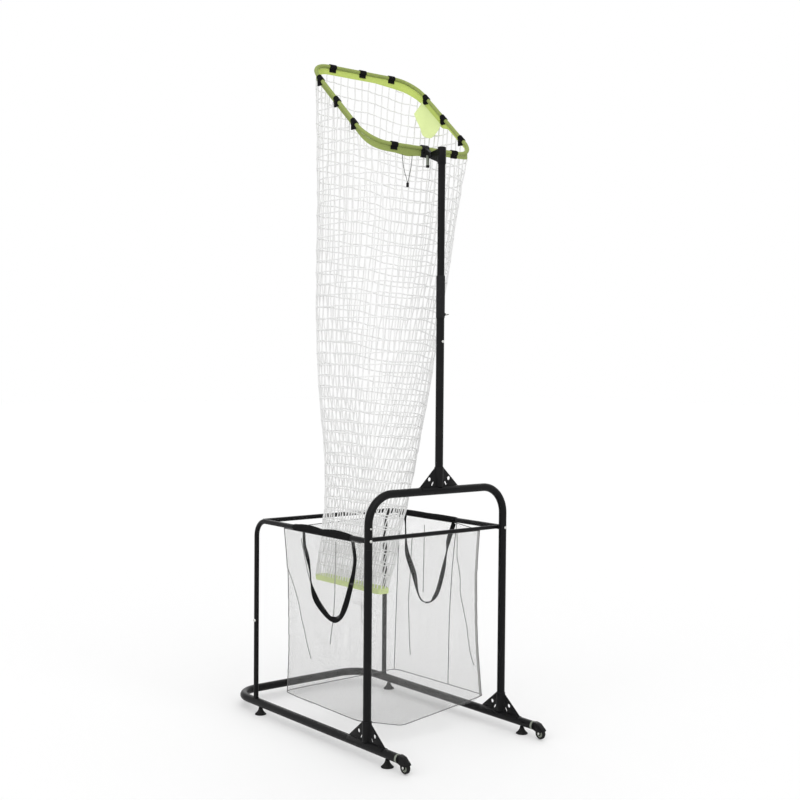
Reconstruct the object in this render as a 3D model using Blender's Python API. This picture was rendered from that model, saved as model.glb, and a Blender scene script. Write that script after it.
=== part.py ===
"""Volleyball practice net: a tube cart with a hanging ball bag, a telescopic mast and a tilting catch hoop.

Metres, +Z up. The origin is on the floor under the middle of the cart. The open side of the base, with
the wheels, faces +X; the catch hoop tilts up towards -X. Left is +Y and right is -Y.
"""

import math

import bmesh
import bpy
from mathutils import Matrix, Vector

# Overall layout, measured from the plane of the two front posts
TRACK = 0.700
CROSSBAR_SETBACK = 0.972
REAR_POST_SETBACK = 0.789
REAR_BAR_SETBACK = 0.745
BAG_ROD_SETBACK = 0.0265
ARM_OVERHANG = 0.198
WHEEL_OVERHANG = 0.233
BASE_Z = 0.049
RAIL_Z = 0.8326
ARCH_Z = 1.0056
POST_JOINT_Z = 0.800
REAR_JOINT_Z = 0.408

# Tube sizes
BASE_OD = 0.034
BASE_WALL = 0.0015
BASE_BEND = 0.120
POST_OD = 0.032
POST_WALL = 0.0015
ARCH_BEND = 0.112
RAIL_OD = 0.021
RAIL_WALL = 0.0015
RAIL_BEND = 0.068
REAR_BAR_OD = 0.019
BAG_ROD_OD = 0.016
MAST_OD = 0.032
MAST_WALL = 0.0012
MAST_TOP_Z = 2.362
MAST_LOWER_TOP_Z = 1.851
MAST_UPPER_FOOT_Z = 1.702
MAST_UPPER_OD = 0.029
SPIGOT_POST = 0.092
SPIGOT_REAR = 0.045
SWAGE_TAPER = 0.008

# Gaps between pieces that touch, and clearance of pieces that run or slide
SEAT = 0.0003
RUNNING = 0.0003

# Gusset feet under the posts and the mast
FOOT_PLATE = 0.004
FOOT_SLEEVE_WALL = 0.0025
FOOT_SADDLE_WALL = 0.0025
FOOT_HEIGHT = 0.078
FOOT_TOE = 0.004
POST_FOOT_HALF = 0.110
MAST_FOOT_HALF = 0.095
SADDLE_SWEEP = math.radians(70)
GUSSET_HOLE_R = 0.0048
GUSSET_HOLE_OUT = 0.050
GUSSET_HOLE_UP = 0.031
GUSSET_SLOT_OUT = 0.034
GUSSET_SLOT_UP = 0.0125
GUSSET_SLOT_R = 0.0034
GUSSET_SLOT_LENGTH = 0.012
GUSSET_SLOT_LEAN = math.radians(32)

# Levelling feet
PAD_R = 0.0245
PAD_EDGE = 0.003
PAD_FLARE = 0.010
STEM_R = 0.0065
STUD_R = 0.004
STUD_REACH = 0.012
LOCKNUT_R = 0.0085
LOCKNUT_HEIGHT = 0.007
NUT_FLATS = 6
REAR_PAD_SETBACK = 0.752
FRONT_PAD_OVERHANG = 0.127

# Casters
WHEEL_R = 0.023
WHEEL_WIDTH = 0.015
WHEEL_LIFT = 0.003
WHEEL_RECESS = 0.002
WHEEL_CROWN = 0.003
HUB_R = 0.008
RIM_R = 0.0165
AXLE_R = 0.003
AXLE_HEAD_R = 0.0055
AXLE_HEAD = 0.002
FORK_PLATE = 0.0025
FORK_SIDE_GAP = 0.0012
FORK_HOOD_GAP = 0.0025
FORK_LUG_R = 0.0085
FORK_PLUG = 0.028
FORK_FLANGE = 0.003
FORK_SHOULDER = 0.0115
FORK_BROW = 0.0293
FORK_BROW_DROP = 0.0037
FORK_HEEL = 0.01275
FORK_CREST = math.radians(62)
FORK_NOSE = math.radians(30)
FORK_LUG_START = math.radians(20)
FORK_LUG_END = math.radians(-190)

# Bolts through the front posts into the rails, and the bolt that stops the sliding mast
BOLT_R = 0.003
BOLT_HEAD_R = 0.006
BOLT_HEAD = 0.004
RAIL_BOLT_REACH = 0.020
RAIL_PLUG = 0.014
STOP_BOLT_Z = 1.596

# Spring buttons that lock the arch on the posts
BUTTON_R = 0.0042
BUTTON_Z = 0.880
BUTTON_PROUD = 0.003
BUTTON_FLANGE_R = 0.0062
BUTTON_FLANGE = 0.0012

# Height clamp on the mast
COLLAR_FOOT_Z = 1.690
COLLAR_TOP_Z = 1.856
COLLAR_WALL = 0.0016
CLAMP_Z = 1.704
CLAMP_BOSS_R = 0.0065
CLAMP_BOSS = 0.005
CLAMP_SCREW_R = 0.0028
CLAMP_SHANK = 0.012
CLAMP_SHANK_R = 0.0042
CLAMP_BAR_R = 0.002
CLAMP_BAR = 0.030

# Catch hoop
HOOP_SIDE = 0.560
HOOP_CORNER = 0.105
HOOP_TUBE_R = 0.008
HOOP_TILT = math.radians(42)
HOOP_SETBACK = 0.109
HOOP_RISE = 0.0346
STRAP_WIDTH = 0.028
STRAP_THICK = 0.0025
STRAP_TAIL = 0.020
STRAP_CLEAR = 0.005
BORDER_THICK = 0.0016
BORDER_DROP = 0.036
BORDER_NOTCH = 0.018

# Mast head, hoop clamp and its knob
TILT_SETBACK = 0.058
TILT_DROP = 0.027
HEAD_SLEEVE = 0.066
HEAD_WALL = 0.0022
HEAD_CAP = 0.003
EAR_THICK = 0.003
EAR_R = 0.0125
EAR_START = math.radians(80)
EAR_END = math.radians(235)
TONGUE_WIDTH = 0.016
TONGUE_THICK = 0.014
JAW_WIDTH = 0.026
JAW_WALL = 0.0035
TILT_BOLT_R = 0.004
TILT_BOLT_HEAD_R = 0.0075
TILT_BOLT_HEAD = 0.004
KNOB_SETBACK = 0.086
KNOB_R = 0.0065
KNOB_LENGTH = 0.040
KNOB_CAP_R = 0.0078
KNOB_CAP = 0.009
KNOB_SCREW_R = 0.003
KNOB_SCREW_REACH = 0.009
KNOB_LOBES = 8
KNOB_FLUTE = 0.0005

# Net chute: its bars, and its sections as height, centre behind the post plane, centre across, half sizes
NET_THICK = 0.0024
NET_BAR = 0.006
NET_UPRIGHTS = 16
NET_SEAT = 0.0006
NET_SECTIONS = (
    (2.10, 0.321, -0.020, 0.208, 0.275),
    (1.75, 0.324, -0.055, 0.212, 0.228),
    (1.40, 0.328, -0.078, 0.216, 0.170),
    (1.05, 0.332, -0.100, 0.221, 0.094),
    (0.80, 0.335, -0.140, 0.225, 0.046),
)
HEM_TOP_Z = 0.617
HEM_HEIGHT = 0.026
HEM_THICK = 0.0026
HEM_SETBACK = 0.337
HEM_ACROSS = -0.180
HEM_HALF = (0.226, 0.030)
ROUNDING = 0.75

# Ball bag: rim and floor corners as distance behind the posts, side, and distance inside that side's rail
BAG_WALL = 0.002
BAG_FLOOR_Z = 0.088
BAG_RIM = (
    (0.586, "right", 0.0, "rail"),
    (0.052, "right", 0.0, "rail"),
    (BAG_ROD_SETBACK, "right", 0.050, "rod"),
    (BAG_ROD_SETBACK, "left", 0.100, "rod"),
    (0.285, "left", 0.0, "rail"),
    (0.680, "left", 0.0, "rail"),
)
BAG_FLOOR = (
    (0.625, "right", 0.045),
    (0.110, "right", 0.060),
    (0.060, "right", 0.110),
    (0.030, "left", 0.088),
    (0.280, "left", 0.050),
    (0.640, "left", 0.050),
)
SLEEVE_WALL = 0.0018
RIGHT_SLEEVE = (0.500, 0.110)
LEFT_SLEEVE = (0.675, 0.290)
RIGHT_HANDLE = (0.417, 0.085)
LEFT_HANDLE = (0.650, 0.320)
HANDLE_WIDTH = 0.025
HANDLE_THICK = 0.0016
HANDLE_DROP = 0.338
HANDLE_LEAN = 0.10
HANDLE_SHAPE = 1.7

# Draw cord of the hoop border: places ahead of the border, across, and up from the border's lower edge
CORD_R = 0.0011
CORD_ROUTE = (
    (0.0000, -0.1140, 0.0100),
    (0.0000, -0.1130, -0.0050),
    (0.0010, -0.1090, -0.0350),
    (0.0030, -0.1020, -0.0650),
    (0.0045, -0.0950, -0.0850),
    (0.0050, -0.0925, -0.0960),
    (0.0050, -0.0900, -0.0990),
    (0.0050, -0.0875, -0.0960),
    (0.0045, -0.0850, -0.0850),
    (0.0030, -0.0780, -0.0650),
    (0.0010, -0.0700, -0.0350),
    (0.0000, -0.0650, -0.0050),
    (0.0000, -0.0640, 0.0100),
)
LOCK_R = 0.0055
LOCK_LENGTH = 0.018

# Turned shapes: a domed head's straight share and how wide its top is, and how wide a blunt end is
DOME_WAIST = 0.45
DOME_TOP = 0.7
BLUNT_END = 0.75

# Facets
TUBE_SIDES = 12
THIN_SIDES = 12
SMALL_SIDES = 10
BEND_STEPS = 5
HOOP_STEPS = 4
HOOP_SIDE_STEPS = 3
STRAP_STEPS = 8
FLARE_STEPS = 4
SLOT_STEPS = 3
LUG_STEPS = 8
FLUTE_STEPS = 4
CORD_STEPS = 3
HANDLE_STEPS = 16
SHARP_ANGLE = 35
CRISP_ANGLE = 25
SOFT_ANGLE = 60

# Distances that follow from the sizes above
FRONT_X = (CROSSBAR_SETBACK + BASE_OD / 2 + WHEEL_OVERHANG + WHEEL_R) / 2
POST_X = FRONT_X - WHEEL_OVERHANG - WHEEL_R
HALF_TRACK = TRACK / 2
BASE_R = BASE_OD / 2
POST_R = POST_OD / 2
POST_BORE_R = POST_R - POST_WALL
RAIL_R = RAIL_OD / 2
RAIL_BORE_R = RAIL_R - RAIL_WALL
MAST_R = MAST_OD / 2
MAST_BORE_R = MAST_R - MAST_WALL
MAST_UPPER_R = MAST_UPPER_OD / 2
ARM_TOP_Z = BASE_Z + BASE_R
ARCH_TOP_Z = ARCH_Z + POST_R
WHEEL_Z = WHEEL_R + WHEEL_LIFT
TILT_Z = MAST_TOP_Z - TILT_DROP
HOOP_Z = TILT_Z + HOOP_RISE
UP = Vector((0, 0, 1))
ACROSS = Vector((0, 1, 0))
AHEAD = Vector((1, 0, 0))
SIDES = {"right": -1, "left": 1}


def clear_scene():
    """Remove every object that the scene starts with."""
    for obj in list(bpy.data.objects):
        bpy.data.objects.remove(obj, do_unlink=True)


def make_material(name, colour, roughness, metallic=0.0):
    """Return a plain Principled material."""
    mat = bpy.data.materials.new(name)
    mat.use_nodes = True
    shader = mat.node_tree.nodes["Principled BSDF"]
    shader.inputs["Base Color"].default_value = (*colour, 1.0)
    shader.inputs["Roughness"].default_value = roughness
    shader.inputs["Metallic"].default_value = metallic
    return mat


def make_empty(name, place, parent=None):
    """Return an empty that carries one moving assembly, at its joint."""
    empty = bpy.data.objects.new(name, None)
    bpy.context.scene.collection.objects.link(empty)
    empty.parent = parent
    empty.location = place if parent is None else place - world_place(parent)
    return empty


def world_place(obj):
    """Return an unrotated object's place in the world."""
    place = Vector((0, 0, 0))
    while obj is not None:
        place += obj.location
        obj = obj.parent
    return place


def face_outwards(bm):
    """Turn every face of a closed bmesh outwards."""
    bmesh.ops.recalc_face_normals(bm, faces=bm.faces)
    if bm.calc_volume(signed=True) < 0:
        bmesh.ops.reverse_faces(bm, faces=bm.faces)


def finish(name, bm, mat, origin, parent, smooth_angle=SHARP_ANGLE):
    """Turn a bmesh built in world coordinates into an object whose origin is at a given point."""
    face_outwards(bm)
    bmesh.ops.translate(bm, verts=bm.verts, vec=-origin)
    mesh = bpy.data.meshes.new(name)
    bm.to_mesh(mesh)
    bm.free()
    mesh.materials.append(mat)
    mesh.shade_smooth()
    mesh.set_sharp_from_angle(angle=math.radians(smooth_angle))
    obj = bpy.data.objects.new(name, mesh)
    bpy.context.scene.collection.objects.link(obj)
    obj.parent = parent
    obj.location = origin - world_place(parent)
    return obj


def tool(bm):
    """Return a loose object, at the world origin, to cut with or to add."""
    face_outwards(bm)
    mesh = bpy.data.meshes.new("tool")
    bm.to_mesh(mesh)
    bm.free()
    obj = bpy.data.objects.new("tool", mesh)
    bpy.context.scene.collection.objects.link(obj)
    return obj


def combine(obj, tools, operation, smooth_angle=SHARP_ANGLE):
    """Apply one exact Boolean for each tool, and remove the tools."""
    for each in tools:
        modifier = obj.modifiers.new(operation.lower(), "BOOLEAN")
        modifier.operation = operation
        modifier.solver = "EXACT"
        modifier.object = each
    bpy.context.view_layer.update()
    evaluated = obj.evaluated_get(bpy.context.evaluated_depsgraph_get())
    mesh = bpy.data.meshes.new_from_object(evaluated)
    obj.modifiers.clear()
    mesh.name = obj.name
    mesh.shade_smooth()
    mesh.set_sharp_from_angle(angle=math.radians(smooth_angle))
    obj.data = mesh
    for each in tools:
        bpy.data.objects.remove(each, do_unlink=True)
    return obj


def circle(centre, first, second, radius, sides):
    """Return points round a circle in the plane of two unit vectors."""
    points = []
    for i in range(sides):
        angle = 2 * math.pi * i / sides
        points.append(centre + first * (radius * math.cos(angle)) + second * (radius * math.sin(angle)))
    return points


def skin(bm, loops, closed=False):
    """Join loops of as many points each with quads, and return their rings of vertices."""
    rings = [[bm.verts.new(point) for point in loop] for loop in loops]
    count = len(rings[0])
    pairs = list(zip(rings, rings[1:]))
    if closed:
        pairs.append((rings[-1], rings[0]))
    for ring, following in pairs:
        for i in range(count):
            j = (i + 1) % count
            bm.faces.new((ring[i], ring[j], following[j], following[i]))
    return rings


def cloth_shell(bm, outer, inner, bottom_closed=False):
    """Join an outer and an inner set of loops, bottom first, into one thin wall.

    The quads of both faces are split along the same diagonals, so that a twisted wall keeps its thickness.
    """
    skins = []
    for loops in (outer, inner):
        rings = [[bm.verts.new(point) for point in loop] for loop in loops]
        count = len(rings[0])
        for ring, following in zip(rings, rings[1:]):
            for i in range(count):
                j = (i + 1) % count
                bm.faces.new((ring[i], ring[j], following[j]))
                bm.faces.new((ring[i], following[j], following[i]))
        skins.append(rings)
    ends = [(skins[0][-1], skins[1][-1])]
    if bottom_closed:
        bm.faces.new(skins[0][0])
        bm.faces.new(skins[1][0])
    else:
        ends.append((skins[0][0], skins[1][0]))
    for outside, inside in ends:
        for i in range(len(outside)):
            j = (i + 1) % len(outside)
            bm.faces.new((outside[i], outside[j], inside[j], inside[i]))


def stations_along(corners, radius):
    """Return (point, tangent) pairs along a flat path whose corners are bent to a radius."""
    stations = [(corners[0], (corners[1] - corners[0]).normalized())]
    for before, corner, after in zip(corners, corners[1:], corners[2:]):
        arriving = (corner - before).normalized()
        leaving = (after - corner).normalized()
        turn = arriving.angle(leaving)
        start = corner - arriving * (radius * math.tan(turn / 2))
        inward = (leaving - arriving * leaving.dot(arriving)).normalized()
        for step in range(BEND_STEPS + 1):
            angle = turn * step / BEND_STEPS
            place = start + arriving * (radius * math.sin(angle)) + inward * (radius * (1 - math.cos(angle)))
            stations.append((place, arriving * math.cos(angle) + inward * math.sin(angle)))
    stations.append((corners[-1], (corners[-1] - corners[-2]).normalized()))
    return stations


def tube_bmesh(stations, side_axis, sides):
    """Return a hollow tube with open ends.

    Each station is (point, tangent, outer radius, bore radius), and side_axis is square to every tangent.
    """
    bm = bmesh.new()
    outer = [circle(p, side_axis, t.cross(side_axis), r, sides) for p, t, r, bore in stations]
    inner = [circle(p, side_axis, t.cross(side_axis), bore, sides) for p, t, r, bore in stations]
    skin(bm, outer + inner[::-1], closed=True)
    return bm


def rod_bmesh(stations, side_axis, sides):
    """Return a solid round bar from (point, tangent, radius) stations, with flat ends."""
    bm = bmesh.new()
    rings = skin(bm, [circle(p, side_axis, t.cross(side_axis), r, sides) for p, t, r in stations])
    bm.faces.new(rings[0])
    bm.faces.new(rings[-1])
    return bm


def side_of(axis):
    """Return a unit vector square to an axis that lies along X, Y or Z."""
    return AHEAD.copy() if abs(axis.z) > 0.5 or abs(axis.y) > 0.5 else ACROSS.copy()


def straight_rod(start, axis, steps, sides):
    """Return a stepped solid round bar: steps are (distance along the axis, radius)."""
    return rod_bmesh([(start + axis * d, axis, r) for d, r in steps], side_of(axis), sides)


def straight_tube(start, axis, steps, sides):
    """Return a stepped hollow bar: steps are (distance along the axis, outer radius, bore radius)."""
    return tube_bmesh([(start + axis * d, axis, r, bore) for d, r, bore in steps], side_of(axis), sides)


def slab(outline, thickness, centre, first, second):
    """Return a plate: an outline of (a, b) points along two unit vectors, centred through its thickness."""
    bm = bmesh.new()
    normal = first.cross(second)
    base = [centre + first * a + second * b - normal * (thickness / 2) for a, b in outline]
    face = bm.faces.new([bm.verts.new(point) for point in base])
    extruded = bmesh.ops.extrude_face_region(bm, geom=[face], use_keep_orig=True)
    moved = [item for item in extruded["geom"] if isinstance(item, bmesh.types.BMVert)]
    bmesh.ops.translate(bm, verts=moved, vec=normal * thickness)
    return bm


def arc_points(centre, radius, start, end, steps):
    """Return (a, b) points along an arc between two angles, both included."""
    points = []
    for step in range(steps + 1):
        angle = start + (end - start) * step / steps
        points.append((centre[0] + radius * math.cos(angle), centre[1] + radius * math.sin(angle)))
    return points


def rounded_rectangle(half_long, half_wide, corner):
    """Return (long, wide) points round a rectangle with round corners, the same count for any size."""
    corner = min(corner, half_long, half_wide)
    points = []
    for quarter in range(4):
        sign_long = (1, -1, -1, 1)[quarter]
        sign_wide = (1, 1, -1, -1)[quarter]
        middle = (sign_long * (half_long - corner), sign_wide * (half_wide - corner))
        start = quarter * math.pi / 2
        arc = arc_points(middle, corner, start, start + math.pi / 2, HOOP_STEPS)
        points += arc
        following = ((-1, 1), (-1, -1), (1, -1), (1, 1))[quarter]
        target = (following[0] * (half_long - corner), following[1] * half_wide)
        if quarter % 2:
            target = (following[0] * half_long, following[1] * (half_wide - corner))
        for step in range(1, HOOP_SIDE_STEPS):
            share = step / HOOP_SIDE_STEPS
            points.append(tuple(a + (b - a) * share for a, b in zip(arc[-1], target)))
    return points


def round_tool(start, axis, low, high, radius, sides=SMALL_SIDES):
    """Return a round bar to cut with or to add, between two distances along an axis."""
    return tool(straight_rod(start, axis, ((low, radius), (high, radius)), sides))


def round_cutters(places, radius, length):
    """Return one round cutter for each (point, unit axis), centred on its point."""
    return [round_tool(place, axis, -length / 2, length / 2, radius) for place, axis in places]


def domed_head(seat, radius, height):
    """Return the (distance, radius) steps of a low domed head, from its seat outwards."""
    return [(seat, radius), (seat + height * DOME_WAIST, radius), (seat + height, radius * DOME_TOP)]


def pin_steps(reach, radius, head_r, head):
    """Return the steps of a pin with a domed head at each end."""
    right = [(reach, radius)] + domed_head(reach, head_r, head)
    return [(-d, r) for d, r in reversed(right)] + right


def side_y(side, inset=0.0):
    """Return a side's place across the cart, or a place some way inside it."""
    return SIDES[side] * (HALF_TRACK - inset)


def build_base(parent, coat):
    """Build the U-shaped floor tube, with a hole under each arm for each levelling foot's stud."""
    corners = [
        Vector((POST_X + ARM_OVERHANG, -HALF_TRACK, BASE_Z)),
        Vector((POST_X - CROSSBAR_SETBACK, -HALF_TRACK, BASE_Z)),
        Vector((POST_X - CROSSBAR_SETBACK, HALF_TRACK, BASE_Z)),
        Vector((POST_X + ARM_OVERHANG, HALF_TRACK, BASE_Z)),
    ]
    stations = [(p, t, BASE_R, BASE_R - BASE_WALL) for p, t in stations_along(corners, BASE_BEND)]
    obj = finish("base_tube", tube_bmesh(stations, UP, TUBE_SIDES), coat, Vector((0, 0, BASE_Z)), parent)
    studs = [(place - UP * (place.z - BASE_Z + BASE_R), UP) for place in foot_places().values()]
    return combine(obj, round_cutters(studs, STUD_R + RUNNING, BASE_R), "DIFFERENCE")


def foot_places():
    """Return the floor point under each levelling foot."""
    places = {}
    for side in SIDES:
        places[f"foot_rear_{side}"] = Vector((POST_X - REAR_PAD_SETBACK, side_y(side), 0))
        places[f"foot_front_{side}"] = Vector((POST_X + FRONT_PAD_OVERHANG, side_y(side), 0))
    return places


def build_feet(coat):
    """Build the four levelling feet: a flared pad, a stem, a locknut and a stud in one turned piece."""
    arm_foot_z = BASE_Z - BASE_R
    nut_foot_z = arm_foot_z - SEAT - LOCKNUT_HEIGHT
    steps = [(0.0, PAD_R)]
    for step in range(FLARE_STEPS + 1):
        share = step / FLARE_STEPS
        flare_r = STEM_R + (PAD_R - STEM_R) * (1 - share) ** 2
        steps.append((PAD_EDGE + (PAD_FLARE - PAD_EDGE) * share, flare_r))
    steps.append((nut_foot_z, STEM_R))
    nut_start = nut_foot_z - LOCKNUT_HEIGHT / 2
    stud = ((nut_start, STUD_R), (arm_foot_z + BASE_WALL + STUD_REACH, STUD_R))
    for name, place in foot_places().items():
        carrier = make_empty(f"{name}_turn", place)
        obj = finish(name, straight_rod(place, UP, steps, TUBE_SIDES), coat, place, carrier)
        nut = straight_rod(place, UP, ((nut_foot_z, LOCKNUT_R), (arm_foot_z - SEAT, LOCKNUT_R)), NUT_FLATS)
        combine(obj, [tool(nut), tool(straight_rod(place, UP, stud, SMALL_SIDES))], "UNION")


def gusset_foot(name, parent, coat, seat, along, post_r, tube_r, half):
    """Build a foot that stands a post on a tube: a saddle, a gusset plate with holes, and a sleeve.

    seat is the point on the tube's axis under the post, and along is the tube's direction.
    """
    crown = tube_r + SEAT + FOOT_SADDLE_WALL
    sleeve_r = post_r + RUNNING + FOOT_SLEEVE_WALL
    top = tube_r + FOOT_HEIGHT
    toe = tube_r + FOOT_TOE
    half_wing = [(half, tube_r), (half, toe), (sleeve_r, top)]
    outline = half_wing + [(-a, b) for a, b in reversed(half_wing)]
    obj = finish(name, slab(outline, FOOT_PLATE, seat, along, UP), coat, seat + UP * crown, parent)
    sleeve = round_tool(seat, UP, tube_r, top, sleeve_r, TUBE_SIDES)
    across = along.cross(UP)
    saddle = slab(saddle_outline(tube_r), 2 * half, seat, UP, across)
    combine(obj, [sleeve, tool(saddle)], "UNION")
    cutters = [round_tool(seat, UP, crown, top + crown, post_r + RUNNING, TUBE_SIDES)]
    cutters.append(round_tool(seat, along, -2 * half, 2 * half, tube_r + SEAT, TUBE_SIDES))
    for way in (-1, 1):
        hole = seat + along * (way * GUSSET_HOLE_OUT) + UP * (tube_r + GUSSET_HOLE_UP)
        cutters += round_cutters([(hole, across)], GUSSET_HOLE_R, 3 * FOOT_PLATE)
        slot = seat + along * (way * GUSSET_SLOT_OUT) + UP * (tube_r + GUSSET_SLOT_UP)
        lean = (UP * math.cos(GUSSET_SLOT_LEAN) - along * (way * math.sin(GUSSET_SLOT_LEAN))).normalized()
        half_turn = math.pi / 2
        ends = arc_points((GUSSET_SLOT_LENGTH / 2, 0), GUSSET_SLOT_R, -half_turn, half_turn, SLOT_STEPS)
        ends += arc_points((-GUSSET_SLOT_LENGTH / 2, 0), GUSSET_SLOT_R, half_turn, 3 * half_turn, SLOT_STEPS)
        cutters.append(tool(slab(ends, 3 * FOOT_PLATE, slot, lean, across.cross(lean))))
    return combine(obj, cutters, "DIFFERENCE")


def saddle_outline(tube_r):
    """Return the half-pipe section that straddles a tube, as (up, across) points."""
    inner = arc_points((0, 0), tube_r + SEAT / 2, SADDLE_SWEEP, -SADDLE_SWEEP, BEND_STEPS)
    outer = arc_points((0, 0), tube_r + SEAT + FOOT_SADDLE_WALL, -SADDLE_SWEEP, SADDLE_SWEEP, BEND_STEPS)
    return inner + outer


def post_foot_z():
    """Return the height of a front post's lower end, just above its saddle."""
    return ARM_TOP_Z + SEAT + FOOT_SADDLE_WALL + SEAT


def build_front_posts(parent, coat, steel):
    """Build each front post, its gusset foot, and the bolt that holds the side rail to it."""
    for side in SIDES:
        foot = Vector((POST_X, side_y(side), 0))
        spigot_r = POST_BORE_R - RUNNING
        spigot_bore = spigot_r - POST_WALL
        taper_z = POST_JOINT_Z - SWAGE_TAPER
        steps = (
            (post_foot_z(), POST_R, POST_BORE_R),
            (taper_z, POST_R, POST_BORE_R),
            (POST_JOINT_Z, POST_R, spigot_bore),
            (POST_JOINT_Z, spigot_r, spigot_bore),
            (POST_JOINT_Z + SPIGOT_POST, spigot_r, spigot_bore),
        )
        seat = Vector((POST_X, side_y(side), BASE_Z))
        origin = foot + UP * post_foot_z()
        obj = finish(f"front_post_{side}", straight_tube(foot, UP, steps, TUBE_SIDES), coat, origin, parent)
        combine(obj, post_holes([side]), "DIFFERENCE")
        gusset_foot(f"post_foot_{side}", parent, coat, seat, AHEAD, POST_R, BASE_R, POST_FOOT_HALF)
        build_rail_bolt(side, parent, steel)


def button_way(side):
    """Return which way a post's spring button faces: the two posts are one part, turned half round."""
    return -SIDES[side]


def post_holes(sides):
    """Return cutters for the spring button and the rail bolt of each front post."""
    buttons = []
    bolts = []
    for side in sides:
        axis_foot = Vector((POST_X, side_y(side), 0))
        buttons.append((axis_foot + UP * BUTTON_Z + AHEAD * (button_way(side) * POST_R), AHEAD))
        bolts.append((axis_foot + UP * RAIL_Z, AHEAD))
    return (round_cutters(buttons, BUTTON_R + RUNNING, POST_R)
            + round_cutters(bolts, BOLT_R + RUNNING, 2 * POST_OD))


def build_rail_bolt(side, parent, steel):
    """Build the bolt that runs through a front post into the plug in the rail's end."""
    place = Vector((POST_X, side_y(side), RAIL_Z))
    seat = POST_R + SEAT
    steps = [(-POST_R - RAIL_BOLT_REACH, BOLT_R), (seat, BOLT_R)] + domed_head(seat, BOLT_HEAD_R, BOLT_HEAD)
    finish(f"rail_bolt_{side}", straight_rod(place, AHEAD, steps, SMALL_SIDES), steel, place, parent)


def build_arch(parent, coat):
    """Build the inverted U that stands on the posts' spigots, with a hole for each spring button."""
    corners = [
        Vector((POST_X, -HALF_TRACK, POST_JOINT_Z + SEAT)),
        Vector((POST_X, -HALF_TRACK, ARCH_Z)),
        Vector((POST_X, HALF_TRACK, ARCH_Z)),
        Vector((POST_X, HALF_TRACK, POST_JOINT_Z + SEAT)),
    ]
    stations = [(p, t, POST_R, POST_BORE_R) for p, t in stations_along(corners, ARCH_BEND)]
    origin = Vector((POST_X, 0, ARCH_Z))
    obj = finish("arch_tube", tube_bmesh(stations, AHEAD, TUBE_SIDES), coat, origin, parent)
    return combine(obj, post_holes(SIDES), "DIFFERENCE")


def build_buttons(steel):
    """Build the two spring buttons, each a dome with a flange that rests inside the spigot."""
    spigot_bore = POST_BORE_R - RUNNING - POST_WALL
    for side in SIDES:
        way = AHEAD * button_way(side)
        axis_point = Vector((POST_X, side_y(side), BUTTON_Z))
        flange_r = math.sqrt(spigot_bore ** 2 - BUTTON_FLANGE_R ** 2) - SEAT
        steps = [(flange_r - BUTTON_FLANGE, BUTTON_FLANGE_R), (flange_r, BUTTON_FLANGE_R),
                 (flange_r, BUTTON_R)]
        steps += domed_head(POST_R, BUTTON_R, BUTTON_PROUD)
        origin = axis_point + way * POST_R
        carrier = make_empty(f"post_button_{side}_press", origin)
        dome = straight_rod(axis_point, way, steps, SMALL_SIDES)
        finish(f"post_button_{side}", dome, steel, origin, carrier)


def rail_route(side):
    """Return (point, tangent) stations along a side rail, from its lower end up and forward to the post."""
    foot = Vector((POST_X - REAR_POST_SETBACK, side_y(side), REAR_JOINT_Z + SEAT))
    corner = Vector((foot.x, foot.y, RAIL_Z))
    return stations_along([foot, corner, Vector((POST_X, foot.y, RAIL_Z))], RAIL_BEND)


def build_side_frames(parent, coat):
    """Build each rear stub, and the bent tube that plugs onto it and runs forward as the side rail."""
    for side in SIDES:
        y = side_y(side)
        foot = Vector((POST_X - REAR_POST_SETBACK, y, 0))
        spigot_r = RAIL_BORE_R - RUNNING
        spigot_bore = spigot_r - RAIL_WALL
        steps = (
            (BASE_Z, RAIL_R, RAIL_BORE_R),
            (REAR_JOINT_Z - SWAGE_TAPER, RAIL_R, RAIL_BORE_R),
            (REAR_JOINT_Z, RAIL_R, spigot_bore),
            (REAR_JOINT_Z, spigot_r, spigot_bore),
            (REAR_JOINT_Z + SPIGOT_REAR, spigot_r, spigot_bore),
        )
        origin = foot + UP * ARM_TOP_Z
        stub = finish(f"rear_stub_{side}", straight_tube(foot, UP, steps, THIN_SIDES), coat, origin, parent)
        arm = round_tool(foot + UP * BASE_Z, AHEAD, -BASE_OD, BASE_OD, BASE_R + SEAT, TUBE_SIDES)
        combine(stub, [arm], "DIFFERENCE")
        stations = [(p, t, RAIL_R, RAIL_BORE_R) for p, t in rail_route(side)[:-1]]
        plug_x = POST_X - POST_R - RAIL_PLUG
        stations.append((Vector((plug_x, y, RAIL_Z)), AHEAD, RAIL_R, RAIL_BORE_R))
        stations.append((Vector((plug_x, y, RAIL_Z)), AHEAD, RAIL_R, BOLT_R + RUNNING))
        stations.append((Vector((POST_X, y, RAIL_Z)), AHEAD, RAIL_R, BOLT_R + RUNNING))
        origin = foot + UP * RAIL_Z
        rail = finish(f"side_rail_{side}", tube_bmesh(stations, ACROSS, THIN_SIDES), coat, origin, parent)
        post = round_tool(Vector((POST_X, y, RAIL_Z)), UP, -POST_OD, POST_OD, POST_R + SEAT, TUBE_SIDES)
        combine(rail, [post], "DIFFERENCE")


def cross_tube(name, parent, coat, setback, outer_r):
    """Build a tube between the two side rails, its ends coped to fit them."""
    place = Vector((POST_X - setback, -HALF_TRACK, RAIL_Z))
    steps = ((0, outer_r, outer_r - RAIL_WALL), (TRACK, outer_r, outer_r - RAIL_WALL))
    origin = place + ACROSS * HALF_TRACK
    obj = finish(name, straight_tube(place, ACROSS, steps, THIN_SIDES), coat, origin, parent)
    rails = []
    for side in SIDES:
        stations = [(p, t, RAIL_R + SEAT) for p, t in rail_route(side)]
        rails.append(tool(rod_bmesh(stations, ACROSS, THIN_SIDES)))
    return combine(obj, rails, "DIFFERENCE")


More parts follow.
